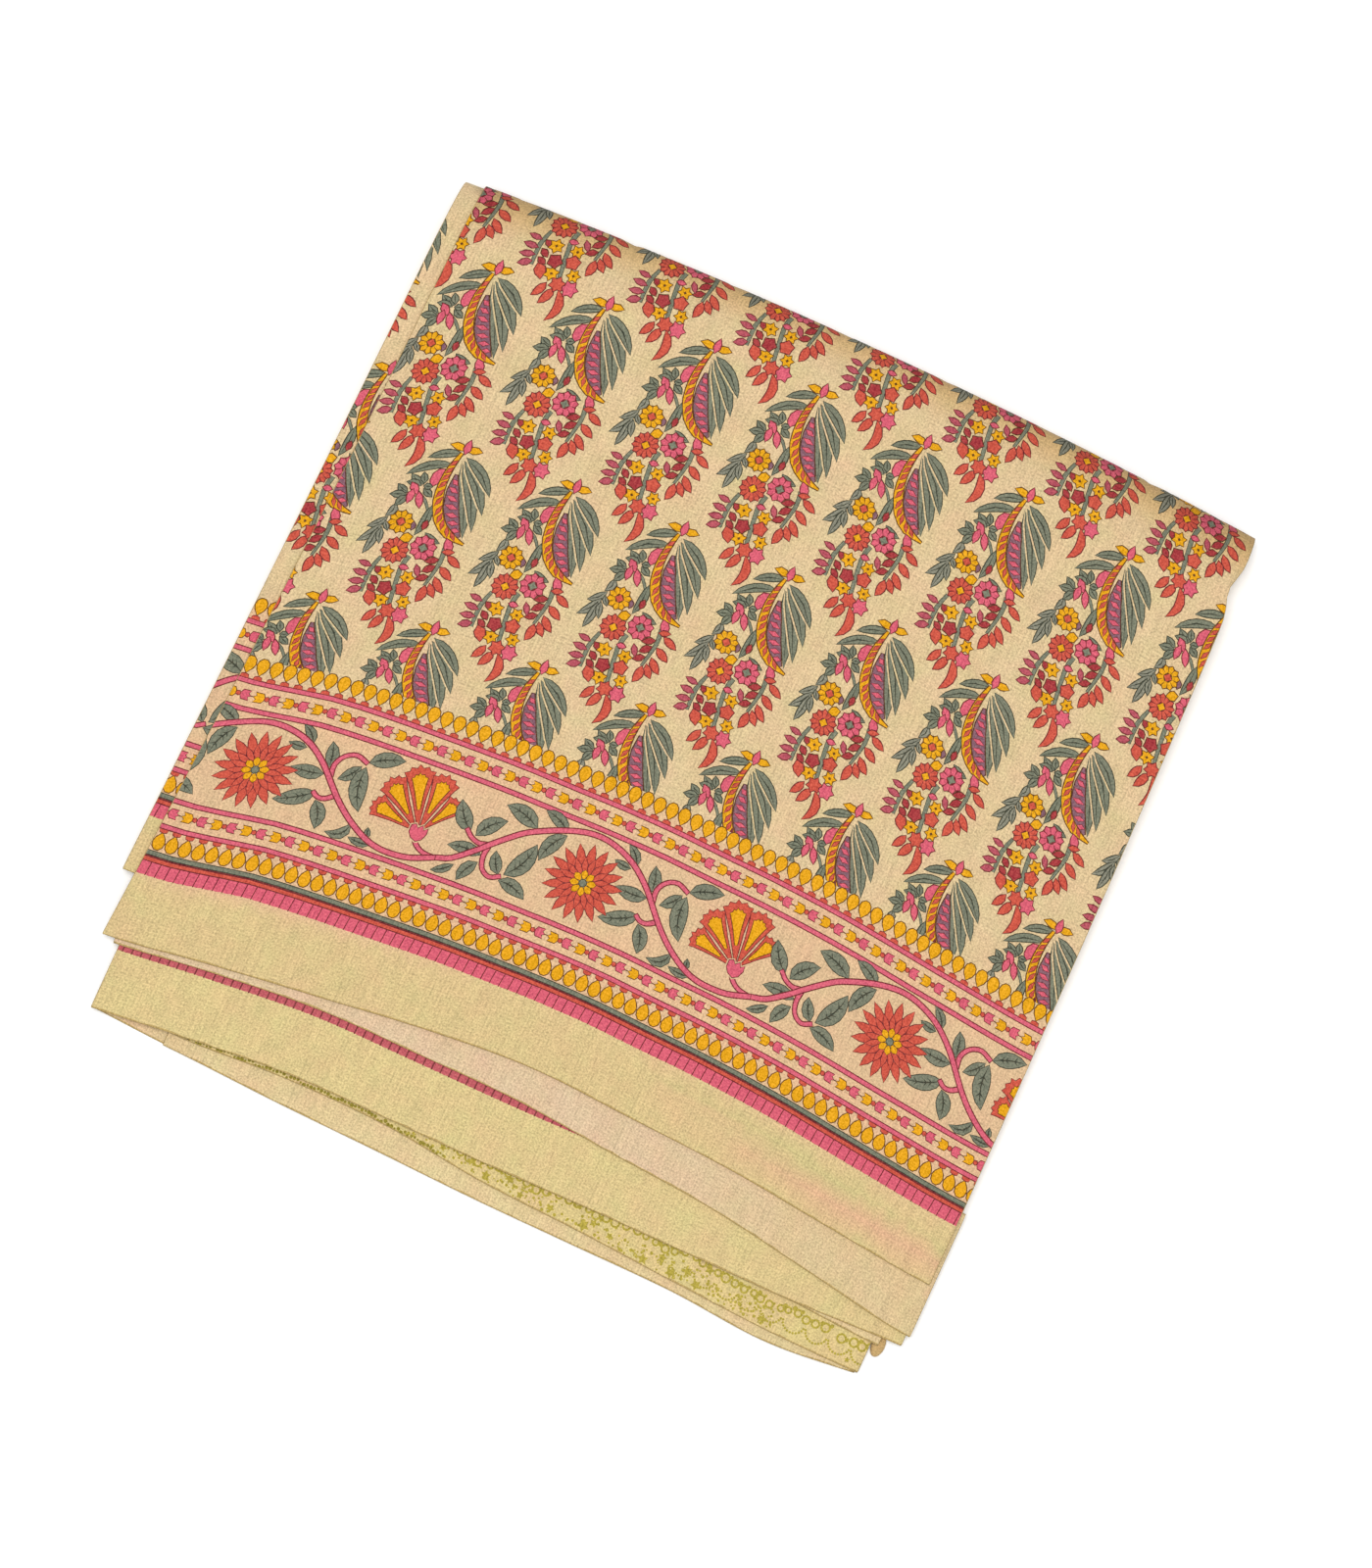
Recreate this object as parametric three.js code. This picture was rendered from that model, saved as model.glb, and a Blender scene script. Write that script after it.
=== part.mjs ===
// A printed saree folded into a flat packet: 6.3 m of cloth turned in three across its width and
// halved four times along its length. It lies on a surface with its thick rounded fold at the back
// and its hems fanned out at the front. Millimetres, +Z up, origin under the middle of the packet.
import * as THREE from "three";

// The whole cloth, and what is left of it after folding
const CLOTH_LENGTH = 6300;
const CLOTH_WIDTH = 1150;
const HALVINGS = 4;
const WIDTH_TURNS = 3;
const PACKET_WIDTH = CLOTH_LENGTH / 2 ** HALVINGS;
const PACKET_DEPTH = CLOTH_WIDTH / WIDTH_TURNS;

// One wall stands for each ply that shows
const PLY = 1.2;
const SEAM = 0.3;
const PITCH = PLY + SEAM;

// The packet's height over the surface, on top of the top ply
const FOLD_HEIGHT = 27;
const HEM_PLIES_BELOW = 6; // base, beige, printed, plain, lower border and inner plies
const RISE_POWER = 1.6; // the plies rise fast from the hems, then level out towards the fold
const SWELL = 0.5; // soft waves in the upper plies
const SWELL_LENGTH = 150;

// The thick fold at the back: how far it rounds in, above and below its outermost line
const ROLL_TOP = 34;
const ROLL_BOTTOM = 14;
const FOLD_CROWN = 0.564 * PACKET_DEPTH; // the fold's outermost line, at its middle
const FOLD_BOW = 6.5; // how far it falls back at FOLD_HALF to either side of FOLD_CENTRE
const FOLD_CENTRE = 5;
const FOLD_HALF = 190;

// The sides of the top ply and of the ply under it, from hem to fold
const HALF_WIDTH = PACKET_WIDTH / 2;
const TOP_LEFT = { hem: -HALF_WIDTH - 6.4, fold: -HALF_WIDTH + 11.5, bow: 2.6 };
const TOP_RIGHT = { hem: HALF_WIDTH + 8.5, fold: HALF_WIDTH + 1.3, bow: 1.2 };
const SECOND_LEFT = { hem: -HALF_WIDTH - 11.6, fold: -HALF_WIDTH + 2.3, bow: 0.8 };
const SECOND_INSET = 1.5; // the second ply's right side, inside the top ply's
const SECOND_SETBACK = 31; // the second ply's hem, behind the top one's
const NOTCH = { deep: 3.2, at: 182, half: 8 }; // where the packet's right side draws in
const NOTCH_UNDER = 0.6; // the share of it that the second ply follows

// The hidden plies, as one solid layered at its edges
const CORE_SETBACK = 36; // its front, behind the top hem
const CORE_INSET = { left: 2.2, right: 2.4 };
const EDGE_PLIES = 7;
const LAYER_RELIEF = 1.4;

// Where each hem lies, in front of the packet's middle: one column for each ply
const HEM_COLUMNS = ["x", "top", "inner", "lower", "plain", "printed", "beige", "base"];
const HEMS = [
  [-206, -172.2, -174.6, -205.8, -199.5, -200.6, -206.6, -204.8],
  [-150, -164.0, -167.5, -199.8, -196.5, -200.8, -207.6, -207.2],
  [-100, -157.0, -162.6, -195.2, -192.5, -197.8, -209.6, -207.6],
  [-50, -150.3, -162.2, -194.9, -192.0, -198.3, -210.8, -208.4],
  [0, -146.3, -162.6, -194.9, -192.0, -203.4, -212.2, -209.6],
  [50, -148.3, -166.6, -194.0, -191.5, -205.6, -212.6, -210.0],
  [100, -150.7, -170.4, -193.8, -191.5, -208.6, -213.0, -210.5],
  [150, -155.7, -177.8, -193.6, -193.8, -211.0, -216.0, -211.5],
  [206, -160.8, -186.2, -191.6, -196.4, -211.4, -211.0, -208.0],
].map((row) => Object.fromEntries(row.map((value, n) => [HEM_COLUMNS[n], value])));

// The plies fanned out under the top hem, from the surface upwards: their sides and their colours
const FAN = [
  { name: "beige_ply", hem: "beige", level: 1, left: -157.8, right: 191.4, colour: 0xe3cb9c },
  { name: "printed_end", hem: "printed", level: 2, left: -157.2, right: 192.6, colour: 0xc9bd62 },
  { name: "plain_ply", hem: "plain", level: 3, left: -192.0, right: 195.9, colour: 0xe4cda0 },
  { name: "lower_border", hem: "lower", level: 4, left: -194.4, right: 205.4, colour: 0xdccb8b },
  { name: "inner_selvedge", hem: "inner", level: 5, left: -197.2, right: 207.2, colour: 0xe6c9a9 },
];
const BASE = { left: -193.4, right: 190.6, colour: 0xe6c9a9 };

// A short folded end that shows at the front right corner: a flattened round nose
const FOLD_END = { x: 196.4, y: -196.4, half_wide: 3.2, half_long: 5.6, half_high: 2.1, colour: 0xb99a63 };

const COLUMNS = 16;
const FLAT_ROWS = 18;
const FAN_ROWS = 3;
const BASE_ROWS = 6;
const ROLL_STEPS = 14; // round the whole fold
const TOP_TURN = 11; // steps that the top ply follows it
const SECOND_TURN = 10;

const lerp = (a, b, t) => a + (b - a) * t;
const clamp01 = (t) => Math.min(1, Math.max(0, t));

// A smooth curve through one column of the hems' table (Catmull-Rom)
function hemAt(x, column) {
  const last = HEMS.length - 1;
  let k = 0;
  while (k < last - 1 && x > HEMS[k + 1].x) k += 1;
  const t = clamp01((x - HEMS[k].x) / (HEMS[k + 1].x - HEMS[k].x));
  const [a, b, c, d] = [k - 1, k, k + 1, k + 2].map((n) => HEMS[Math.min(last, Math.max(0, n))][column]);
  return b + 0.5 * t * (c - a + t * (2 * a - 5 * b + 4 * c - d + t * (3 * (b - c) + d - a)));
}

// The fold's outermost line, bowed back at both ends
const foldAt = (x) => FOLD_CROWN - FOLD_BOW * ((x - FOLD_CENTRE) / FOLD_HALF) ** 2;

// A side of a ply: straight from hem to fold with a slight bow
function sideAt(side, y) {
  const t = clamp01((y - HEMS[0].top) / (FOLD_CROWN - HEMS[0].top));
  return lerp(side.hem, side.fold, t) + side.bow * 4 * t * (1 - t);
}
const notchAt = (y) => NOTCH.deep * Math.exp(-(((y - NOTCH.at) / NOTCH.half) ** 2));
const topLeft = (y) => sideAt(TOP_LEFT, y);
const topRight = (y) => sideAt(TOP_RIGHT, y) - notchAt(y);
const secondLeft = (y) => sideAt(SECOND_LEFT, y);
const secondRight = (y) => sideAt(TOP_RIGHT, y) - SECOND_INSET - NOTCH_UNDER * notchAt(y);

// Height of the hidden plies under the two upper ones, low at the top hem and high at the fold
const SKINS = 2 * PITCH;
const CORE_LOW = HEM_PLIES_BELOW * PITCH - PITCH - SEAM;
const CORE_HIGH = FOLD_HEIGHT - SKINS;
const SWELL_SLANT = 0.3;
function bedAt(x, y) {
  const hem = hemAt(x, "top");
  const t = clamp01((y - hem) / (foldAt(x) - hem));
  const swell = SWELL * t * Math.cos((2 * Math.PI * (x + SWELL_SLANT * y)) / SWELL_LENGTH);
  return CORE_LOW + (CORE_HIGH - CORE_LOW) * (1 - (1 - t) ** RISE_POWER) + swell;
}

// The round of the fold, at a turn from 0 (flat on top) to 1 (flat underneath), and its outward normal
const coreFold = (x) => foldAt(x) - SKINS;
function roundAt(x, turn, out) {
  const angle = Math.PI * turn;
  const reach = turn < 0.5 ? ROLL_TOP : ROLL_BOTTOM;
  const y = coreFold(x) - reach * (1 - Math.sin(angle));
  const height = bedAt(x, y) - PITCH;
  const z = PITCH + height * (0.5 + 0.5 * Math.cos(angle));
  const outward = new THREE.Vector2(0.5 * height * Math.sin(angle), reach * Math.cos(angle));
  const normal = outward.normalize();
  return [y + out * normal.x, z + out * normal.y];
}

// A closed block of columns by rows by levels, whose point(i, j, k) are its corners:
// the whole grid on its top and underside, and the rim between them
function block(columns, rows, levels, point) {
  const at = new Map();
  const positions = [];
  const index = [];
  const corner = (i, j, k) => {
    const key = (k * (rows + 1) + j) * (columns + 1) + i;
    if (!at.has(key)) {
      at.set(key, positions.length / 3);
      positions.push(...point(i, j, k));
    }
    return at.get(key);
  };
  const quad = (a, b, c, d) => index.push(a, b, c, a, c, d);
  for (let i = 0; i < columns; i += 1) {
    for (let j = 0; j < rows; j += 1) {
      const [u, v] = [i + 1, j + 1];
      quad(corner(i, j, levels), corner(u, j, levels), corner(u, v, levels), corner(i, v, levels));
      quad(corner(i, j, 0), corner(i, v, 0), corner(u, v, 0), corner(u, j, 0));
    }
  }
  for (let k = 0; k < levels; k += 1) {
    const up = k + 1;
    for (let i = 0; i < columns; i += 1) {
      quad(corner(i, 0, k), corner(i + 1, 0, k), corner(i + 1, 0, up), corner(i, 0, up));
      quad(corner(i + 1, rows, k), corner(i, rows, k), corner(i, rows, up), corner(i + 1, rows, up));
    }
    for (let j = 0; j < rows; j += 1) {
      quad(corner(0, j + 1, k), corner(0, j, k), corner(0, j, up), corner(0, j + 1, up));
      quad(corner(columns, j, k), corner(columns, j + 1, k), corner(columns, j + 1, up), corner(columns, j, up));
    }
  }
  const geometry = new THREE.BufferGeometry();
  geometry.setAttribute("position", new THREE.Float32BufferAttribute(positions, 3));
  geometry.setIndex(index);
  geometry.computeVertexNormals();
  return geometry;
}

// A ply that lies on the packet from its hem and turns down round the fold
function foldedPly({ left, right, hem, out, turnSteps }) {
  const rows = FLAT_ROWS + turnSteps;
  return block(COLUMNS, rows, 1, (i, j, k) => {
    const u = i / COLUMNS;
    const lift = out + k * PLY;
    const guess = lerp(left(0), right(0), u);
    const flatEnd = coreFold(guess) - ROLL_TOP;
    if (j <= FLAT_ROWS) {
      const y = lerp(hem(guess), flatEnd, j / FLAT_ROWS);
      const x = lerp(left(y), right(y), u);
      return [x, y, bedAt(x, y) + lift];
    }
    const [y, z] = roundAt(guess, (j - FLAT_ROWS) / ROLL_STEPS, lift);
    return [lerp(left(y), right(y), u), y, z];
  });
}

// All the hidden plies: flat underneath, rounded at the fold, ridged by its layers elsewhere
function foldedCore() {
  const levels = 2 * EDGE_PLIES;
  return block(COLUMNS, FLAT_ROWS, levels, (i, j, k) => {
    const turn = 1 - k / levels;
    const inset = k % 2 === 0 ? LAYER_RELIEF : 0;
    const left = (y) => secondLeft(y) + CORE_INSET.left + inset;
    const right = (y) => secondRight(y) - CORE_INSET.right - inset;
    const u = i / COLUMNS;
    const guess = lerp(left(0), right(0), u);
    const front = hemAt(guess, "top") + CORE_SETBACK + inset;
    const [back] = roundAt(guess, turn, 0);
    const y = lerp(front, back, j / FLAT_ROWS);
    const x = lerp(left(y), right(y), u);
    const share = 0.5 + 0.5 * Math.cos(Math.PI * turn);
    return [x, y, PITCH + (bedAt(x, y) - PITCH) * share];
  });
}

// A ply of the fan, level from its hem to the front of the hidden plies
function fanPly({ hem, level, left, right }) {
  return block(COLUMNS, FAN_ROWS, 1, (i, j, k) => {
    const x = lerp(left, right, i / COLUMNS);
    const back = hemAt(x, "top") + CORE_SETBACK - SEAM;
    return [x, lerp(hemAt(x, hem), back, j / FAN_ROWS), level * PITCH + k * PLY];
  });
}

// The lowest ply, flat on the surface under the whole packet
function basePly() {
  return block(COLUMNS, BASE_ROWS, 1, (i, j, k) => {
    const x = lerp(BASE.left, BASE.right, i / COLUMNS);
    const back = coreFold(x) - ROLL_BOTTOM;
    return [x, lerp(hemAt(x, "base"), back, j / BASE_ROWS), k * PLY];
  });
}

// The folded end, lying under the plain ply and beside the printed one
function foldEnd() {
  const { x, y, half_wide: wide, half_long: long, half_high: high } = FOLD_END;
  return new THREE.SphereGeometry(1, 12, 8).scale(wide, high, long).rotateX(Math.PI / 2).translate(x, y, high);
}

const cloth = (colour) => new THREE.MeshStandardMaterial({ color: colour, roughness: 0.85, metalness: 0 });

const saree = new THREE.Group();
saree.name = "folded_saree";
function add(name, geometry, colour) {
  const mesh = new THREE.Mesh(geometry, cloth(colour));
  mesh.name = name;
  saree.add(mesh);
}

const topPly = {
  left: topLeft,
  right: topRight,
  hem: (x) => hemAt(x, "top"),
  out: PITCH + SEAM,
  turnSteps: TOP_TURN,
};
const secondPly = {
  left: secondLeft,
  right: secondRight,
  hem: (x) => hemAt(x, "top") + SECOND_SETBACK,
  out: SEAM,
  turnSteps: SECOND_TURN,
};

add("top_layer", foldedPly(topPly), 0xe8d6a5);
add("second_layer", foldedPly(secondPly), 0xdfcb98);
add("folded_core", foldedCore(), 0xd9c493);
for (const ply of FAN) add(ply.name, fanPly(ply), ply.colour);
add("base_ply", basePly(), BASE.colour);
add("fold_end", foldEnd(), FOLD_END.colour);

export default saree;
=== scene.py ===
# %% [markdown]
# # A folded printed saree
# A saree is one strip of cloth, here 6.3 m by 1.15 m. It is folded in three across and halved four
# times along, so it lies as a flat packet with one thick round fold at the back and a fan of loose
# hems at the front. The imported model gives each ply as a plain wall. The cells below put a thin
# printed cloth over each of those walls, in the same places.

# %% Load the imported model
import math
from functools import partial

import bpy
import numpy as np
from mathutils.geometry import delaunay_2d_cdt
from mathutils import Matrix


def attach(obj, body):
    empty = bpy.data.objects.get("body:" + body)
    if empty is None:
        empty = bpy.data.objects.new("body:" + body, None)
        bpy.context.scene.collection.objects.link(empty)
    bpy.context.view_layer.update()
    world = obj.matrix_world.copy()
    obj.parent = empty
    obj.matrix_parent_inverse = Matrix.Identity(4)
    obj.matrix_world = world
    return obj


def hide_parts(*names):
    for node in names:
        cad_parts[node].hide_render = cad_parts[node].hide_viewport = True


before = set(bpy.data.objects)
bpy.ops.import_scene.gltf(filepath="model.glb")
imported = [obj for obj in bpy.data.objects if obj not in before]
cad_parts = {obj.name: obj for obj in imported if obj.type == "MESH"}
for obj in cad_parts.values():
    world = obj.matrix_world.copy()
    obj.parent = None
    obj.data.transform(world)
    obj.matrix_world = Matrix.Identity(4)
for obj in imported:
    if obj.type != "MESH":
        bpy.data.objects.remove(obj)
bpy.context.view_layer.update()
MM = 0.001

# %% [markdown]
# ## Camera, floor and light
# Cloth laid out for sale is seen from straight above under very even light. The camera looks
# straight down and is turned a little, so that the packet lies aslant. Two big soft lamps and a
# pale sky do the rest: one lamp is stronger, so that each hem throws a thin soft shadow.

# %% Camera and floor
TURN = math.radians(24.6)
AIM = (9.8 * MM, 0.3 * MM)
CAMERA_HEIGHT = 2.015
AIM_BELOW = 2.0
FRAME_HEIGHT = 0.712  # what the long side of the picture covers, AIM_BELOW metres below the camera
SENSOR = 36.0

camera = bpy.data.objects.new("camera", bpy.data.cameras.new("camera"))
camera.location = (*AIM, CAMERA_HEIGHT)
camera.rotation_euler = (0, 0, TURN)
camera.data.sensor_width = SENSOR
camera.data.lens = SENSOR * AIM_BELOW / FRAME_HEIGHT
bpy.context.scene.collection.objects.link(camera)
bpy.context.scene.camera = camera
bpy.context.scene.view_settings.view_transform = "Standard"
print("lens, mm:", round(camera.data.lens, 1))


def mesh_object(name, points_mm, faces):
    """A new smooth object at the origin, from points in millimetres and a list or array of faces."""
    mesh = bpy.data.meshes.new(name)
    faces = faces if isinstance(faces, list) else faces.tolist()
    mesh.from_pydata((np.asarray(points_mm) * MM).tolist(), [], faces)
    mesh.polygons.foreach_set("use_smooth", [True] * len(mesh.polygons))
    made = bpy.data.objects.new(name, mesh)
    bpy.context.scene.collection.objects.link(made)
    return made


FLOOR_HALF = 4000
FLOOR_CORNERS = np.array([(-1, -1, 0), (1, -1, 0), (1, 1, 0), (-1, 1, 0)])
floor = mesh_object("floor", FLOOR_CORNERS * FLOOR_HALF, [(0, 1, 2, 3)])


# %% Soft lamps and sky
def soft_lamp(name, place, size, watts):
    """A square lamp of this size in metres at place, turned to face the packet."""
    lamp = bpy.data.objects.new(name, bpy.data.lights.new(name, "AREA"))
    lamp.data.size = size
    lamp.data.energy = watts
    lamp.location = place
    x, y, z = place
    lamp.rotation_euler = (math.atan2(math.hypot(x, y), z), 0, math.atan2(x, -y))
    bpy.context.scene.collection.objects.link(lamp)
    return lamp


SKY_STRENGTH = 0.54
soft_lamp("key lamp", (-0.15, 0.2, 2.6), 1.0, 47)
soft_lamp("fill lamp", (0.8, -0.9, 2.6), 1.2, 7)
sky = bpy.data.worlds.new("sky")
sky.use_nodes = True
sky.node_tree.nodes["Background"].inputs["Color"].default_value = (1, 1, 1, 1)
sky.node_tree.nodes["Background"].inputs["Strength"].default_value = SKY_STRENGTH
bpy.context.scene.world = sky

# %% [markdown]
# ## Where every ply lies
# The packet is measured once, in millimetres: the length and width of the cloth, how often it is
# folded, and the line of each hem at nine places along the front. Everything below is worked out
# from these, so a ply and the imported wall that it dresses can't drift apart.

# %% The packet's sizes
CLOTH_LENGTH, CLOTH_WIDTH = 6300, 1150
PACKET_WIDTH, PACKET_DEPTH = CLOTH_LENGTH / 16, CLOTH_WIDTH / 3
PLY, SEAM = 1.2, 0.3
PITCH = PLY + SEAM
FOLD_HEIGHT = 27
RISE_POWER = 1.6
SWELL, SWELL_LENGTH, SWELL_SLANT = 0.5, 150, 0.3
ROLL_TOP, ROLL_BOTTOM = 34, 14
FOLD_CROWN, FOLD_BOW, FOLD_CENTRE, FOLD_HALF = 0.564 * PACKET_DEPTH, 6.5, 5, 190
HALF_WIDTH = PACKET_WIDTH / 2
TOP_LEFT = dict(hem=-HALF_WIDTH - 6.4, fold=-HALF_WIDTH + 11.5, bow=2.6)
TOP_RIGHT = dict(hem=HALF_WIDTH + 8.5, fold=HALF_WIDTH + 1.3, bow=1.2)
SECOND_LEFT = dict(hem=-HALF_WIDTH - 11.6, fold=-HALF_WIDTH + 2.3, bow=0.8)
SECOND_INSET, SECOND_SETBACK = 1.5, 31
NOTCH = dict(deep=3.2, at=182, half=8)
NOTCH_UNDER = 0.6
CORE_SETBACK = 36
CORE_LOW, CORE_HIGH = 4.5 * PITCH + 0.45, FOLD_HEIGHT - 2 * PITCH
ROLL_STEPS, TOP_TURN, SECOND_TURN = 14, 11, 10

HEM_COLUMNS = ("x", "top", "inner", "lower", "plain", "printed", "beige", "base")
HEMS = dict(zip(HEM_COLUMNS, np.array([
    (-206, -172.2, -174.6, -205.8, -199.5, -200.6, -206.6, -204.8),
    (-150, -164.0, -167.5, -199.8, -196.5, -200.8, -207.6, -207.2),
    (-100, -157.0, -162.6, -195.2, -192.5, -197.8, -209.6, -207.6),
    (-50, -150.3, -162.2, -194.9, -192.0, -198.3, -210.8, -208.4),
    (0, -146.3, -162.6, -194.9, -192.0, -203.4, -212.2, -209.6),
    (50, -148.3, -166.6, -194.0, -191.5, -205.6, -212.6, -210.0),
    (100, -150.7, -170.4, -193.8, -191.5, -208.6, -213.0, -210.5),
    (150, -155.7, -177.8, -193.6, -193.8, -211.0, -216.0, -211.5),
    (206, -160.8, -186.2, -191.6, -196.4, -211.4, -211.0, -208.0),
]).T))
FRONT = HEMS["top"][0]
print("hems charted:", len(HEM_COLUMNS) - 1, "at", len(HEMS["x"]), "places")


# %% Lines of the packet
def hem_at(x, column):
    """The hem's y at x: a cubic through four neighbours in the table (Catmull-Rom)."""
    places, hem = HEMS["x"], HEMS[column]
    last = len(places) - 1
    k = np.clip(np.searchsorted(places, x) - 1, 0, last - 1)
    t = np.clip((x - places[k]) / (places[k + 1] - places[k]), 0, 1)
    a, b, c, d = (hem[np.clip(k + n, 0, last)] for n in (-1, 0, 1, 2))
    return b + 0.5 * t * (c - a + t * (2 * a - 5 * b + 4 * c - d + t * (3 * (b - c) + d - a)))


def fold_at(x):
    """The fold's outermost line: the crown, less a parabola of the distance from its centre."""
    return FOLD_CROWN - FOLD_BOW * ((x - FOLD_CENTRE) / FOLD_HALF) ** 2


def core_fold(x):
    """The hidden plies' outermost line, two plies further in."""
    return fold_at(x) - 2 * PITCH


def side_at(side, y):
    """A side's x at y: a straight line from hem to fold plus a parabola of the given bow."""
    t = np.clip((y - FRONT) / (FOLD_CROWN - FRONT), 0, 1)
    return side["hem"] + (side["fold"] - side["hem"]) * t + side["bow"] * 4 * t * (1 - t)


def notch_at(y):
    """How far the right side draws in: a bell curve near the fold."""
    return NOTCH["deep"] * np.exp(-(((y - NOTCH["at"]) / NOTCH["half"]) ** 2))


# %% [markdown]
# ## Soft creases
# Cloth that has been folded for shipping is never quite flat. Broad, low ridges and troughs run
# over it, longer and shallower in some places than in others. Each one here is listed with its
# own length, width and height. All plies share them, so that none cuts through its neighbour,
# and they fade to nothing at the surface that the packet lies on.

# %% The creases
CREASES = np.array([  # x0, y0, x1, y1, height, half_wide
    (-170, 120, -60, 168, 0.55, 11), (-40, 150, 120, 120, -0.45, 15), (60, 176, 190, 160, 0.6, 9),
    (-190, 40, -120, 96, -0.4, 12), (-90, 20, 40, 70, 0.35, 18), (70, 60, 196, 96, 0.4, 14),
    (150, -60, 204, 20, -0.45, 12), (-205, -80, -150, -20, 0.4, 10), (-60, -70, 60, -40, -0.3, 17),
    (90, -110, 205, -70, 0.35, 13), (-180, -150, -90, -120, 0.3, 12), (20, -136, 150, -120, -0.25, 12),
    (178, 60, 200, 150, 0.5, 8), (-186, 150, -172, 196, 0.5, 7), (0, 186, 110, 192, -0.35, 8),
])
FREE_FLOOR = PLY  # below this height nothing moves
FULL_RELIEF = 20  # and this far above it the creases have their whole height


def relief(x, y):
    """Sum over the creases of height * exp(-(d / half_wide)^2), with d the distance to its line."""
    x, y = np.broadcast_arrays(np.asarray(x, float), np.asarray(y, float))
    total = np.zeros(x.shape)
    for x0, y0, x1, y1, height, half_wide in CREASES:
        dx, dy = x1 - x0, y1 - y0
        t = np.clip(((x - x0) * dx + (y - y0) * dy) / (dx * dx + dy * dy), 0, 1)
        away = np.hypot(x - x0 - t * dx, y - y0 - t * dy)
        total += height * np.exp(-((away / half_wide) ** 2))
    return total


def creased(x, y, z):
    """The height z with the creases added, in proportion to how high it lies."""
    return z + relief(x, y) * np.clip((z - FREE_FLOOR) / FULL_RELIEF, 0, 1)


print("creases placed:", len(CREASES))


# %% [markdown]
# ## The upper plies round the fold
# The top ply rises from its hem over the hidden plies, reaches the back and turns down round them.
# A point of the cloth is given by its column x and its distance v from the hem, as if the cloth
# were laid out flat. One function bends that flat plane over the packet, so a print that is drawn
# flat goes round the fold with the cloth, at its true length.

# %% Bending the flat cloth
def bed_at(x, y):
    """The height of the hidden plies: it climbs from CORE_LOW to CORE_HIGH as 1 - (1 - t)^RISE_POWER,
    t being the share of the way from hem to fold, and swells a little in long slanting waves."""
    hem = hem_at(x, "top")
    t = np.clip((y - hem) / (fold_at(x) - hem), 0, 1)
    swell = SWELL * t * np.cos(2 * np.pi * (x + SWELL_SLANT * y) / SWELL_LENGTH)
    return CORE_LOW + (CORE_HIGH - CORE_LOW) * (1 - (1 - t) ** RISE_POWER) + swell


def on_round(x, y, angle, out):
    """The place at this angle round the fold: a half ellipse of the bed's height, pushed outwards."""
    reach = np.where(angle < np.pi / 2, ROLL_TOP, ROLL_BOTTOM)
    height = bed_at(x, y) - PITCH
    along, up = 0.5 * height * np.sin(angle), reach * np.cos(angle)
    size = np.hypot(along, up)
    z = PITCH + height * (0.5 + 0.5 * np.cos(angle)) + out * up / size
    return np.stack([x + 0 * z, y + out * along / size, creased(x, y, z)], -1)


def round_y(x, angle):
    """Where the round starts at this angle: reach * (1 - sin(angle)) in front of the hidden fold."""
    reach = np.where(angle < np.pi / 2, ROLL_TOP, ROLL_BOTTOM)
    return core_fold(x) - reach * (1 - np.sin(angle))


ANGLES = np.linspace(0, np.pi, 181)
SKIN = 2 * PITCH  # how far the top ply's face lies outside the hidden plies
on_fold = on_round(0 * ANGLES, round_y(0 * ANGLES, ANGLES), ANGLES, SKIN)
ROUND_LENGTH = np.concatenate([[0], np.cumsum(np.linalg.norm(np.diff(on_fold, axis=0), axis=1))])
print("cloth round the whole fold, mm:", round(ROUND_LENGTH[-1], 1))

STRETCH_LEFT = 0.027  # the print is this much longer at the far left, where the hem sags forward
STRETCH_REACH = 150


def flat_run(x, v):
    """The distance along the bed from the hem that v mm of cloth reaches."""
    t = np.clip(-x / STRETCH_REACH, 0, 1)
    return v * (1 + STRETCH_LEFT * t * t * (3 - 2 * t))


def wrapped(setback, skin):
    """place(x, v, depth) for a ply that goes over the bed and round the fold."""
    def place(x, v, depth):
        hem = hem_at(x, "top") + setback
        run = core_fold(x) - ROLL_TOP - hem
        gone = flat_run(x, v)
        angle = np.interp(gone - run, ROUND_LENGTH, ANGLES)
        y = np.where(gone < run, hem + gone, round_y(x, angle))
        return on_round(x, y, angle, skin - depth)
    return place


def wrapped_length(x, setback, steps):
    """How much cloth lies between the hem and the end of a ply that follows some steps of the fold."""
    run = core_fold(x) - ROLL_TOP - hem_at(x, "top") - setback
    whole = run + np.interp(np.pi * steps / ROLL_STEPS, ANGLES, ROUND_LENGTH)
    return whole / flat_run(x, 1.0)


def level(column, number):
    """place(x, v, depth) for a ply of the fan, which lies level on the plies below it."""
    def place(x, v, depth):
        y = hem_at(x, column) + v
        z = number * PITCH + PLY - depth
        return np.stack([x + 0 * z, y, creased(x, y, z + 0 * x)], -1)
    return place


# %% [markdown]
# ## Drawing a print
# A block or screen print is made of few kinds of shape: leaves, petals, buds, stars, stems and
# lines. Each is an outline, worked out from where it starts, where it ends and how wide it is. The
# print is a list of outlines with a dye each, the later ones on top. A dark key line is the same
# outline, a little larger, laid under its fill.

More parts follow.
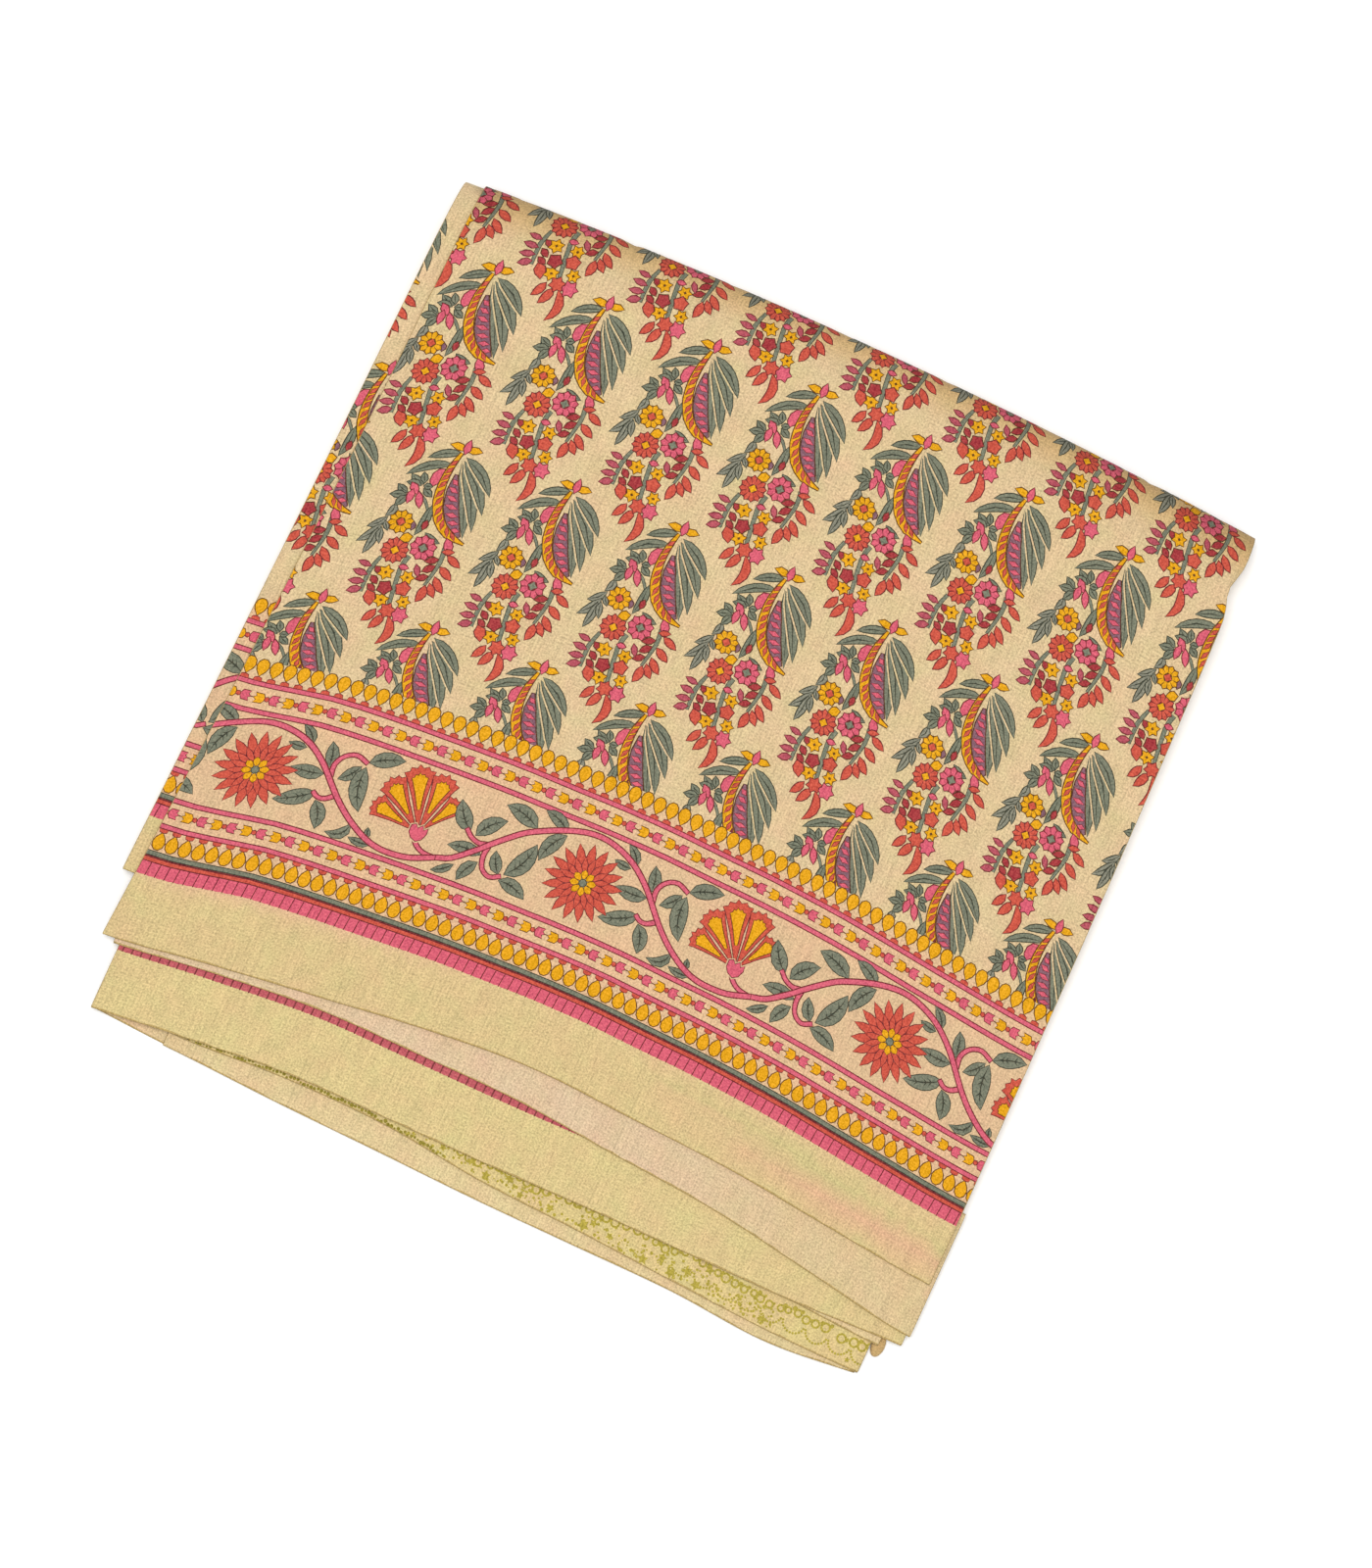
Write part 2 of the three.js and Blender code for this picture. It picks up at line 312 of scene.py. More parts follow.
# %% Outlines
def leaf(base, tip, wide, bend=0.0, belly=0.45, count=0):
    """A pointed leaf: a spine bowed sideways by bend times its length, and at the share t of it a
    half width of wide / 2 * sin(pi t^p)^0.8, p putting the widest place at belly."""
    base, tip = np.array(base, float), np.array(tip, float)
    count = count or int(np.clip(round(math.dist(base, tip) / 5) + 3, 4, 8))
    t = np.linspace(0, 1, count)[:, None]
    along = tip - base
    across = np.array([-along[1], along[0]])
    spine = base + t * along + bend * 4 * t * (1 - t) * across
    way = along + bend * 4 * (1 - 2 * t) * across
    normal = np.stack([-way[:, 1], way[:, 0]], 1) / np.linalg.norm(way, axis=1)[:, None]
    half = wide / 2 * np.sin(np.pi * t ** (math.log(0.5) / math.log(belly))).clip(0) ** 0.8
    return np.concatenate([spine + half * normal, (spine - half * normal)[-2:0:-1]])


def bloom(centre, radius, petals, notch=0.2, turn=0.0, steps=2):
    """A flower seen from above: radius * (1 - notch + notch * |sin(petals a / 2)|) at the angle a."""
    a = np.arange(petals * steps) / (petals * steps) * 2 * np.pi
    r = radius * (1 - notch + notch * np.abs(np.sin(petals * a / 2)))
    return np.array(centre) + np.stack([r * np.cos(a + turn), r * np.sin(a + turn)], 1)


def twice_area(outline):
    """Twice the outline's area, negative where it runs clockwise."""
    x, y = outline.T
    return np.sum(x * np.roll(y, -1) - y * np.roll(x, -1))


def ccw(outline):
    return outline if twice_area(outline) > 0 else outline[::-1]


def disc(centre, radius, count=8):
    return bloom(centre, radius, count, 0, 0, 1)


def star(centre, outer, inner, points, turn=0.0):
    """A star: its points at the outer radius and the notches between them at the inner one."""
    a = np.arange(2 * points) * np.pi / points + turn
    r = np.where(np.arange(2 * points) % 2 == 0, outer, inner)
    return np.array(centre) + np.stack([r * np.cos(a), r * np.sin(a)], 1)


def smooth(path, steps):
    """A Catmull-Rom curve through the path's points, with this many steps between two of them."""
    p = np.array(path, float)
    p = np.concatenate([[2 * p[0] - p[1]], p, [2 * p[-1] - p[-2]]])
    t = (np.arange(steps) / steps)[:, None]
    runs = [b + 0.5 * t * (c - a + t * (2 * a - 5 * b + 4 * c - d + t * (3 * (b - c) + d - a)))
            for a, b, c, d in zip(p, p[1:], p[2:], p[3:])]
    return np.concatenate([*runs, p[-2:-1]])


def spread(path, widths, steps):
    """The smooth path, its unit normals, and the widths spread along it."""
    spine = smooth(path, steps)
    widths = np.atleast_1d(widths)
    wide = np.interp(np.linspace(0, 1, len(spine)), np.linspace(0, 1, len(widths)), widths)
    way = np.gradient(spine, axis=0)
    normal = np.stack([-way[:, 1], way[:, 0]], 1) / np.linalg.norm(way, axis=1)[:, None]
    return spine, normal, wide[:, None]


def ribbon(path, widths, steps=3):
    """A stem: the smooth path with half its width to both sides."""
    spine, normal, wide = spread(path, widths, steps)
    half = wide / 2
    return np.concatenate([spine + half * normal, (spine - half * normal)[::-1]])


def grown(outline, by):
    """The outline pushed outwards by a distance, along the mean direction of its two sides."""
    way = np.roll(outline, -1, 0) - np.roll(outline, 1, 0)
    out = np.stack([way[:, 1], -way[:, 0]], 1) / np.maximum(np.linalg.norm(way, axis=1), 1e-6)[:, None]
    return outline + by * np.sign(twice_area(outline)) * out


# %% Dyes
DYES = {
    "cloth": None,
    "yellow": "#d99a02",
    "red": "#c04b3c",
    "deep red": "#9a2b35",
    "pink": "#cc556b",
    "line pink": "#cc596f",
    "rose": "#aa4858",
    "mauve": "#7a5463",
    "leaf": "#6f7463",
    "sage": "#7f7f70",
    "key": "#4c2616",
    "key red": "#661823",
    "key leaf": "#2f352c",
    "key gold": "#5c340c",
    # hem: the stitched hem, darkened so that it also serves as painted shadow along hems and rims
    "hem": "#b1975f",
    "weak olive": "#bfae6e",
    "olive": "#a8983c",
    "dark olive": "#8a7d2c",
    "crimson": "#b7535e",
    "key crimson": "#732933",
}
KEYS = {"yellow": "key gold", "red": "key red", "deep red": "key", "pink": "key red",
        "line pink": "key red", "rose": "key red", "mauve": "key", "leaf": "key leaf",
        "sage": "key leaf"}
KEY_LINE = 0.54


def stamped(outline, dye, line=KEY_LINE):
    """A key line in the dye's own dark colour, and the fill on it."""
    return [(grown(outline, line), KEYS[dye]), (outline, dye)]


print("dyes:", len(DYES) - 1)


# %% [markdown]
# ## The sprig
# The field is covered with one sprig in a half-drop repeat. Under a small crown of two petals a
# plume of curved leaves falls to the right, beside a long pod with slanting stripes. Flower heads,
# buds and small stars hang below it, and end in a curl of red leaves. The tables list each part
# by where it starts and ends, in millimetres from the crown.

# %% The sprig's parts
PLUME = [  # x0, y0, x1, y1, wide, bend, and how much bare cloth is kept round it
    (-3.0, -8.2, -20.6, -17.6, 3.6, -0.09, 1.15),
    (0.2, -6.5, 14.4, -38.4, 4.8, 0.03, 0),
    (0.8, -6.8, 16.9, -34.4, 4.7, 0.055, 1.15),
    (1.0, -5.2, 18.2, -25.8, 4.6, 0.065, 1.15),
    (1.4, -3.4, 17.8, -16.8, 4.2, 0.085, 1.15),
]
SIDE_LEAF = (-1.4, -2.2, -14.6, -7.8, 3.3, -0.06, "leaf")
SPRAYS = [  # dye, and its leaves: x0, y0, x1, y1, wide, bend
    ("sage", [(-20.4, -38.4, -27.0, -44.4, 3.0, 0.10), (-21.4, -42.0, -28.8, -52.0, 3.3, 0.08),
        (-22.2, -44.4, -24.0, -56.8, 3.1, 0.05), (-20.8, -43.6, -19.0, -50.8, 2.7, -0.06),
        (-20.6, -40.4, -18.0, -44.2, 2.1, 0.0), (-19.4, -31.4, -21.4, -38.0, 3.2, 0.16)]),
    ("leaf", [(-11.6, -20.0, -18.2, -16.9, 3.4, 0.10), (-11.4, -19.4, -13.4, -14.9, 2.8, 0.0),
        (-12.4, -21.0, -18.8, -20.9, 3.0, -0.08), (-16.8, -25.4, -22.0, -22.8, 3.0, 0.06),
        (-17.0, -26.4, -23.6, -28.0, 3.2, 0.0), (-16.6, -27.0, -19.6, -32.4, 3.2, 0.0),
        (-10.6, -22.0, -6.0, -24.6, 3.0, 0.0), (-11.0, -20.8, -7.6, -20.2, 2.6, 0.0),
        (-4.2, -28.6, -6.0, -43.2, 3.4, 0.06), (-1.6, -41.0, 5.8, -43.6, 2.8, -0.10)]),
    ("deep red", [(-3.2, -35.4, -3.6, -40.0, 2.4, 0.0)]),
    ("mauve", [(-8.6, -37.6, -8.2, -41.4, 2.6, 0.0)]),
    ("red", [(11.8, -47.8, 18.8, -51.2, 3.0, 0.0), (10.8, -53.6, 17.5, -57.8, 3.2, 0.0),
        (10.4, -58.6, 16.3, -64.3, 3.2, -0.05), (9.5, -62.0, 13.6, -67.5, 3.2, -0.05),
        (8.0, -63.6, 6.8, -71.6, 3.7, 0.08)]),
    ("deep red", [(8.8, -50.6, 3.4, -53.2, 2.8, 0.0), (8.5, -53.8, 4.0, -57.9, 3.1, 0.0),
        (7.4, -59.2, 2.6, -62.0, 2.8, 0.0)]),
    ("rose", [(-18.0, -61.6, -24.0, -60.5, 2.2, 0.0), (-18.0, -65.8, -24.7, -65.0, 2.6, 0.0),
        (-18.0, -69.2, -24.7, -70.2, 2.6, 0.0), (-18.0, -72.4, -23.6, -75.0, 3.0, 0.0)]),
    ("deep red", [(-16.0, -61.4, -12.4, -63.8, 2.6, 0.0), (-16.0, -65.8, -12.4, -68.8, 2.8, 0.0),
        (-16.0, -70.0, -12.0, -72.2, 2.6, 0.0)]),
    ("red", [(-15.0, -72.6, -11.3, -79.0, 4.9, 0.06)]),
    ("pink", [(-6.4, -58.6, -2.2, -58.4, 2.3, 0.0)]),
    ("rose", [(0.5, -55.6, 3.3, -60.8, 2.3, 0.0)]),
    ("red", [(-8.0, -80.0, -12.0, -87.0, 3.3, 0.06), (-3.8, -81.4, -7.8, -89.6, 3.6, 0.05),
        (-1.6, -81.4, -2.0, -96.2, 3.7, 0.22)]),
]
BUDS = [  # x0, y0, x1, y1, wide, bend, dye
    (-16.6, -20.6, -12.4, -25.2, 3.2, 0.0, "pink"), (-14.8, -23.4, -15.0, -30.2, 2.9, 0.0, "pink"),
    (-12.0, -24.0, -9.0, -31.0, 2.9, 0.0, "pink"), (8.2, -40.6, 11.4, -47.6, 3.6, 0.08, "pink"),
    (8.8, -46.8, 13.8, -45.4, 2.3, 0.0, "red"),
]
LONG_BUD = (-4.4, -10.8, -8.2, -20.4, 5.0, -0.08, "pink")
PETALS = [  # as in BUDS: one beside the middle bloom, and the crown's two
    (-6.4, -44.2, -11.2, -46.6, 4.2, 0.0, "yellow"), (-0.6, -0.6, -7.8, 0.5, 3.1, -0.10, "yellow"),
    (0.6, -0.6, 6.8, 0.9, 3.1, 0.10, "yellow"),
]
LOBED = [  # x, y, outer, inner, points, turn, dye
    (-10.7, -62.8, 3.5, 2.1, 6, 0.5, "yellow"),
    (-0.9, -62.5, 3.2, 1.9, 6, 0.2, "yellow"), (-7.6, -75.4, 3.4, 2.0, 6, 0.5, "yellow"),
    (2.0, -73.5, 3.1, 1.8, 6, 0.2, "yellow"), (-8.4, -69.6, 3.4, 2.5, 5, 0.0, "deep red"),
    (-0.7, -67.9, 3.4, 2.5, 5, 0.4, "red"), (2.8, -79.7, 3.9, 2.5, 6, 0.1, "pink"),
    (-3.2, -79.3, 3.6, 2.3, 6, 0.4, "red"),
]
BLOOMS = [  # x, y, radius, petals, dye, eye, eye_radius
    (-14.0, -39.0, 5.4, 10, "yellow", "red", 1.7), (-11.2, -52.1, 6.0, 12, "red", "yellow", 1.7),
    (0.1, -47.7, 5.8, 9, "pink", "leaf", 1.9),
]
STEMS = [  # path, widths, dye
    (((9.2, -45.0), (9.8, -52.0), (7.6, -63.6)), (1.8, 1.6, 0.9), "leaf"),
    (((-15.6, -56.4), (-17.8, -64.0), (-17.6, -74.0)), (1.2, 1.7, 1.1), "leaf"),
    (((-4.2, -53.0), (-5.4, -60.0), (-3.4, -76.6)), (1.9, 1.7, 1.4), "leaf"),
    (((-14.0, -23.0), (-8.0, -27.0), (-5.0, -31.0)), (0.8, 1.0, 0.8), "leaf"),
]
POD = ((-1.5, -2.0), (-3.3, -9.0), (-3.9, -17.0), (-2.6, -25.5), (1.2, -33.4), (7.6, -38.6),
       (16.0, -40.8))
POD_WIDE = (0.9, 2.2, 3.0, 3.9, 4.0, 3.5, 0.5)
POD_HATCHES = 11
LINING = ((0.2, -12.0), (1.6, -19.0), (4.0, -26.6), (7.8, -33.2), (12.6, -38.4))
LINING_WIDE = (0.8, 4.8, 6.2, 5.2, 1.2)
LINING_COILS = 7


def leaves(rows):
    """Each row of a leaf table as a key line and a fill, and a dark midrib where it is a green leaf."""
    shapes = []
    for x0, y0, x1, y1, wide, bend, dye in rows:
        shapes += stamped(leaf((x0, y0), (x1, y1), wide, bend), dye)
        if KEYS[dye] == "key leaf":
            shapes.append((leaf((x0, y0), (x1, y1), 0.6, bend, 0.5, 3), KEYS[dye]))
    return shapes


def hatched(path, widths, count, dye, inner, outer, wide, slant):
    """Slanting strokes across a ribbon, each from inner to outer times the width off its middle, its
    far end slant twelfths of a path step further on."""
    spine, normal, broad = spread(path, widths, 12)
    at = (np.linspace(0.10, 0.92, count) * (len(spine) - 1 - slant)).astype(int)
    near, far = (spine + normal * broad * inner)[at], (spine + normal * broad * outer)[at + slant]
    strokes = [leaf(a, b, wide, 0, 0.5, 3) for a, b in zip(near, far)]
    return [shape for stroke in strokes for shape in stamped(stroke, dye, 0.4)]


def sprig():
    """The whole sprig as outlines and dyes, its crown at the origin."""
    shapes = leaves([SIDE_LEAF])
    for x0, y0, x1, y1, wide, bend, bare in PLUME:
        blade = leaf((x0, y0), (x1, y1), wide, bend, 0.45, 7)
        shapes += [(grown(blade, bare), "cloth")] if bare else []
        shapes += stamped(blade, "leaf", 0.45)
        shapes.append((leaf((x0, y0), (x1, y1), 0.7, bend, 0.5, 3), "key leaf"))
    shapes += stamped(ribbon(LINING, LINING_WIDE, 2), "mauve")
    shapes += hatched(LINING, LINING_WIDE, LINING_COILS, "pink", -0.42, 0.44, 2.1, 4)
    shapes += leaves([LONG_BUD])
    for path, widths, dye in STEMS:
        shapes += stamped(ribbon(path, widths, 2), dye, 0.3)
    shapes += stamped(ribbon(POD, POD_WIDE, 2), "yellow")
    shapes += hatched(POD, POD_WIDE, POD_HATCHES, "red", 0.52, -0.36, 1.6, 6)
    shapes += leaves([(*row, dye) for dye, rows in SPRAYS for row in rows] + BUDS)
    for x, y, outer, inner, points, turn, dye in LOBED:
        shapes += stamped(star((x, y), outer, inner, points, turn), dye)
        if dye == "yellow":
            shapes.append((disc((x, y), 0.8, 4), "key gold"))
    for x, y, radius, petals, dye, eye, eye_radius in BLOOMS:
        centre = (x, y)
        shapes += stamped(bloom(centre, radius, petals), dye)
        inner, outer = (star(centre, radius * share, 1, petals)[::2] for share in (0.3, 0.94))
        side = np.stack([-(outer - inner)[:, 1], (outer - inner)[:, 0]], 1) * 0.09
        shapes += [(np.array(spoke), KEYS[dye]) for spoke in zip(inner, outer - side, outer + side)]
        shapes.append((disc(centre, eye_radius + 0.6, 6), KEYS[dye]))
        shapes.append((star(centre, eye_radius + 0.3, 1.3, 4), eye))
    return shapes + leaves(PETALS) + stamped(leaf((-0.2, -2.2), (0, 4.8), 3.0, 0, 0.4), "pink")


SPRIG = sprig()
print("shapes in a sprig:", len(SPRIG), "points:", sum(len(outline) for outline, _ in SPRIG))

# %% [markdown]
# ## The border
# A saree's border runs all along its length. From the hem upwards this one has a plain margin, a
# hot pink band with stitch-like ticks, a red and a grey line, a row of yellow drops, a chain of
# buds between two pink lines, a wide band with a flowering vine, another chain, and drops again.
# Distances are measured from the hem. Each repeat is drawn once and stepped along.

# %% Bands and small repeats
REACH = 236  # the print is drawn past both sides, and the cloth's own edge cuts it
LINE_STEP = 12
HEM_LOW, HEM_HIGH, HEM_SWING = -1.5, 0.4, 0.3  # past the edge, up the cloth, and how it wavers


def between(x, low, high):
    """The outline between two lines along the cloth, each level or given at every x."""
    return np.concatenate([np.stack([x, 0 * x + low], 1), np.stack([x, 0 * x + high], 1)[::-1]])


def hem_with_painted_shadow(seed):
    """The rolled and stitched hem, darker than the cloth and never quite even: the dark line is partly the
    stitching and partly painted shadow where the hem lies on the ply below.
    """
    x = np.arange(-REACH, REACH + 1, 5.0)
    inner = HEM_HIGH + HEM_SWING * np.random.default_rng(seed).uniform(-1, 1, len(x))
    return [(between(x, HEM_LOW, inner), "hem")]


def band(low, high, dye, key=None, line=0.35):
    """A stripe along the cloth between two distances from the hem, with key lines at both edges."""
    x = np.arange(-REACH, REACH + 1, LINE_STEP)
    keyed = [(between(x, low - line, high + line), key)] if key else []
    return [*keyed, (between(x, low, high), dye)]


def repeated(shapes, pitch, first):
    """The shapes once for each pitch along the cloth."""
    starts = np.arange(first - pitch * math.floor((REACH + first) / pitch), REACH, pitch)
    return [(outline + (x, 0), dye) for x in starts for outline, dye in shapes]


TICK_BAND = dict(low=28.0, high=34.0, pitch=4.4, slant=0.6, wide=0.45, scallop=0.35)


def tick_band(low, high, pitch, slant, wide, scallop, dye="pink", key="key red", first=1.0):
    """A band whose lower edge bulges between thin slanting ticks."""
    x = np.arange(-REACH, REACH, pitch / 4) + first
    hem = low - scallop * np.abs(np.sin(np.pi * (x - first) / pitch))
    top = np.arange(x[-1], x[0], -LINE_STEP)
    body = np.concatenate([np.stack([x, hem], 1), np.stack([top, 0 * top + high], 1), [(x[0], high)]])
    tick = np.array([(0, low - 0.5), (wide, low - 0.5), (slant + wide, high), (slant, high)])
    return [(body, dye), *repeated([(tick, key)], pitch, first)]


def tulip(x, v, facing, long, tall):
    """A bud on its side: a round back and three teeth in front."""
    back = np.array([(-0.3, -0.47), (-0.56, 0.0), (-0.3, 0.47)])
    teeth = np.array([(0.48, 0.5), (0.26, 0.2), (0.56, 0.0), (0.26, -0.2), (0.48, -0.5)])
    return np.array((x, v)) + np.concatenate([back, teeth]) * (long * facing, tall)


def chain(v):
    """One repeat of the bud chain: a link, a yellow bud, a pink one back to back with it, and a bead."""
    link = np.array([(9.2, v - 0.25), (11.4, v - 0.25), (11.4, v + 0.25), (9.2, v + 0.25)])
    parts = ((tulip(0.2, v, -1, 4.6, 4.3), "yellow"), (tulip(6.9, v, 1, 4.2, 4.3), "pink"),
             (disc((3.6, v), 1.0, 5), "red"))
    return [(link, "key"), *(shape for part, dye in parts for shape in stamped(part, dye, 0.45))]


CHAINS = [(57.5, 13.35, -2.9), (117.9, 13.13, 1.3)]  # distance from the hem, repeat, first bud


def drop(point, head, wide):
    """A drop: three quarters of an ellipse round its head, closed by a point."""
    a = np.radians(np.linspace(-42, 222, 8))
    reach = (head - point) * 0.41
    round_part = np.stack([wide / 2 * np.cos(a), head - reach + reach * np.sin(a)], 1)
    return ccw(np.concatenate([round_part, [(0, point)]]))


def drops(point, head, knob_at, knob_high):
    """A yellow drop between its point and its head, on a small red knob that sits on a pink line."""
    knob = np.array([(-2.1, 0), (-1.5, 0.75), (0, 1.0), (1.5, 0.75), (2.1, 0)])
    knob = knob * (1, knob_high) + (0, knob_at)
    return [*stamped(drop(point, head, 5.2), "yellow", 0.5), *stamped(knob, "red", 0.4)]


# %% [markdown]
# ## The vine
# The wide band's vine is a smooth wave. Daisies with two rings of pointed petals sit under its
# crests and fan-shaped lotus flowers over its troughs. Side shoots curl off it, and every leaf has
# a dark midrib and side veins. One wave is drawn, centred on a daisy, and stepped along.

# %% One wave of the vine
VINE_PITCH = 156.6
DAISY_AT = (0.0, 85.6)
VINE = ((-65.6, 72.0), (-58.8, 74.4), (-50.0, 81.6), (-45.9, 85.6), (-39.6, 91.4), (-33.4, 96.6),
        (-27.1, 100.2), (-19.0, 104.0), (-10.9, 106.8), (-3.4, 108.1), (4.1, 107.6), (12.8, 105.0),
        (20.4, 100.7), (27.9, 94.5), (34.1, 87.9), (40.4, 81.5), (47.9, 75.4), (56.6, 70.2),
        (64.1, 67.6), (71.6, 67.0), (80.3, 68.0), (91.0, 72.0))
SHOOTS = [
    ((-45.6, 86.0), (-46.2, 80.0), (-44.4, 74.6), (-40.0, 72.2), (-35.3, 74.4)),
    ((32.6, 89.8), (31.9, 96.4), (34.7, 101.3), (39.7, 103.4), (45.4, 101.4)),
    ((-46.4, 85.6), (-50.4, 84.8), (-54.6, 86.2), (-58.0, 89.2)),
    ((38.2, 83.5), (34.1, 80.6), (30.6, 80.4), (27.9, 82.2)),
    ((78.6, 77.2), (80.6, 74.4), (84.6, 72.2), (90.6, 71.6)),
]
VINE_LEAVES = [  # x0, v0, x1, v1, wide, bend
    (-29.0, 100.8, -45.6, 105.5, 7.6, -0.08), (-15.9, 104.6, -28.4, 110.0, 5.4, -0.08),
    (-15.3, 102.8, -22.6, 87.8, 6.9, -0.10), (-34.2, 75.7, -25.9, 93.8, 8.0, -0.10),
    (-36.8, 74.8, -41.7, 84.2, 5.4, 0.06), (-35.3, 72.4, -21.5, 68.6, 6.3, 0.10),
    (19.1, 102.6, 12.3, 110.2, 4.0, -0.10), (17.0, 100.3, 9.1, 101.3, 3.5, 0.06),
    (30.0, 94.7, 27.2, 105.9, 5.6, -0.06), (29.1, 91.0, 14.3, 90.5, 6.1, 0.06),
    (46.0, 102.0, 60.8, 107.8, 6.8, 0.06), (43.4, 99.2, 35.9, 90.8, 5.0, 0.08),
    (45.6, 99.4, 50.4, 79.8, 7.6, -0.10), (29.1, 82.2, 12.6, 74.4, 6.8, 0.06),
    (30.6, 78.6, 35.3, 66.6, 6.6, 0.10), (49.9, 73.6, 40.2, 66.8, 4.4, 0.26),
    (61.4, 67.4, 51.0, 67.6, 3.3, 0.06), (58.8, 69.6, 57.6, 74.4, 2.6, 0.0),
    (-56.2, 88.6, -65.2, 100.6, 7.2, 0.08), (-53.0, 87.6, -42.5, 98.6, 7.0, 0.10),
    (-47.5, 80.0, -63.1, 79.5, 5.5, -0.06), (-47.5, 76.4, -53.1, 65.8, 5.6, -0.08),
    (-57.0, 71.8, -65.5, 66.2, 3.4, 0.08),
]


def veined(x0, y0, x1, y1, wide, bend):
    """A leaf with its key line, a midrib along its spine and three pairs of short side veins."""
    base, tip = np.array((x0, y0)), np.array((x1, y1))
    shapes = stamped(leaf(base, tip, wide, bend), "leaf", 0.42)
    shapes.append((leaf(base, tip, 0.7, bend, 0.4, 5), "key leaf"))
    spine = leaf(base, tip, 0.0, bend, 0.5, 9)[:9]
    across = np.array((y0 - y1, x1 - x0)) / np.linalg.norm(tip - base)
    for near, far in ((2, 3), (3, 4), (5, 6)):
        for side in (-1, 1):
            end = spine[far] + side * across * wide * 0.3
            shapes.append((np.array([spine[near], spine[near] + (tip - base) * 0.05, end]), "key leaf"))
    return shapes


DAISY_RINGS = [  # petals, turn, from, to, wide, belly, points, dye, key line
    (17, 0.2, 3, 18.2, 3.9, 0.5, 5, "red", 0.42),
    (17, 0.2 + math.pi / 17, 2.5, 12.0, 2.6, 0.5, 4, "red", 0.42),
    (8, 0.2, 1.4, 6.0, 2.9, 0.6, 5, "yellow", 0.3),
]


def daisy():
    """Two rings of pointed petals, an eight-pointed star and an eye, round DAISY_AT."""
    shapes = []
    for count, turn, inner, outer, wide, belly, points, dye, line in DAISY_RINGS:
        for a in np.arange(count) * 2 * math.pi / count + turn:
            way = np.array((math.cos(a), math.sin(a)))
            petal = leaf(DAISY_AT + way * inner, DAISY_AT + way * outer, wide, 0, belly, points)
            shapes += stamped(petal, dye, line)
    return shapes + stamped(disc(DAISY_AT, 1.6, 8), "leaf", 0.45)


HALF_FLAME = np.array([(0.10, 0.035), (0.5, 0.118), (0.80, 0.205), (0.90, 0.245), (0.925, 0.16),
                       (0.985, 0.135), (0.97, 0.05)])  # along and across, as shares of its length
FLAME = np.concatenate([HALF_FLAME, [(1.03, 0.0)], HALF_FLAME[::-1] * (1, -1)])
FLAME_GAP = 0.8
LOTUS_AT = (78.8, 79.8)
LOTUS_PETALS = [  # degrees, length
    (165.0, 25.4), (138.0, 28.8), (111.0, 31.0), (84.5, 29.2), (57.5, 23.4),
]
LOTUS_CUP = np.array([(-3.6, 2.6), (-3.6, -0.6), (-2.0, -2.8), (0.6, -3.9), (2.8, -2.4), (4.0, 0.6),
                      (3.8, 3.0), (2.2, 1.6), (1.2, 3.6), (-0.6, 1.8), (-2.0, 3.4)])


def lotus():
    """Five fan petals with toothed ends, each a red flame with a yellow one in it, on a pink cup."""
    shapes = []
    for degrees, long in LOTUS_PETALS:
        a = math.radians(degrees)
        turned = np.array([(math.cos(a), math.sin(a)), (-math.sin(a), math.cos(a))]) * long
        outer = LOTUS_AT + FLAME @ turned
        inner = LOTUS_AT + ((FLAME - (0.10, 0)) * (0.58, 0.46) + (0.34, 0)) @ turned
        shapes += [*stamped(grown(outer, -FLAME_GAP), "red", 0.4), *stamped(inner, "yellow", 0.42)]
    cup = LOTUS_AT + LOTUS_CUP
    return shapes + [(grown(cup, 1.0), "cloth"), *stamped(cup, "pink", 0.42)]


def vine_wave():
    """One wave: leaves, then shoots and stem over them, then the two flowers."""
    shapes = [shape for row in VINE_LEAVES for shape in veined(*row)]
    for path in SHOOTS:
        shapes += stamped(ribbon(path, (1.9, 1.5, 1.6)), "line pink")
    shapes += stamped(ribbon(VINE, 2.0, 3), "line pink")
    return shapes + daisy() + lotus()


COVER = (20, 134.9)  # bare cloth under the whole border, so that no sprig shows between its bands
PINK_LINES = (50.9, 63.4, 111.5, 124.2)


def border():
    """Every band of the border, from the hem upwards."""
    shapes = [*band(*COVER, "cloth"), *tick_band(**TICK_BAND), *band(33.9, 36.9, "key red"),
              *band(34.4, 35.9, "red"), *band(37.2, 38.8, "leaf", "key leaf", 0.45)]
    for v in PINK_LINES:
        shapes += band(v - 0.85, v + 0.85, "line pink", "key red", 0.5)
    shapes += repeated(drops(48.0, 39.9, 49.6, -1.6), 6.11, -1.5)
    shapes += repeated(drops(127.6, 135.6, 125.4, 1.7), 6.115, -3.1)
    for v, pitch, first in CHAINS:
        shapes += repeated(chain(v), pitch, first)
    return shapes + repeated(vine_wave(), VINE_PITCH, -14.1)


BORDER = border()
print("shapes in the border:", len(BORDER))

# %% [markdown]
# ## The whole print
# The sprigs stand in rows along the cloth, each row shifted against the next by less than half a
# repeat, as on a slanting half-drop. The border is printed over the lowest row and cuts it off.

# %% The print over one stretch of cloth
SPRIG_ROWS = [  # v, repeat, first
    (413.7, 51.85, -30.2), (333.0, 52.2, 45.1), (251.2, 52.2, 13.7), (169.8, 52.2, -18.1),
]
SHOWS_FROM = 137.5  # a shape of the sprig that ends below this is hidden by the border
# How far up the shapes are moved: LIFT mm at LIFT_X, and a lessening share of it further up.
LIFT_X = (-185, -150, -120, -90, -60, -30, 0, 30, 60, 90, 120, 180)
LIFT = (3.1, 5.4, 4.9, 4.0, 2.9, 1.5, 0.8, 1.4, 2.3, 2.0, 1.8, 1.6)
LIFT_FADE_V, LIFT_FADE = (131, 170, 250, 300), (1, 0.4, 0.25, 0)


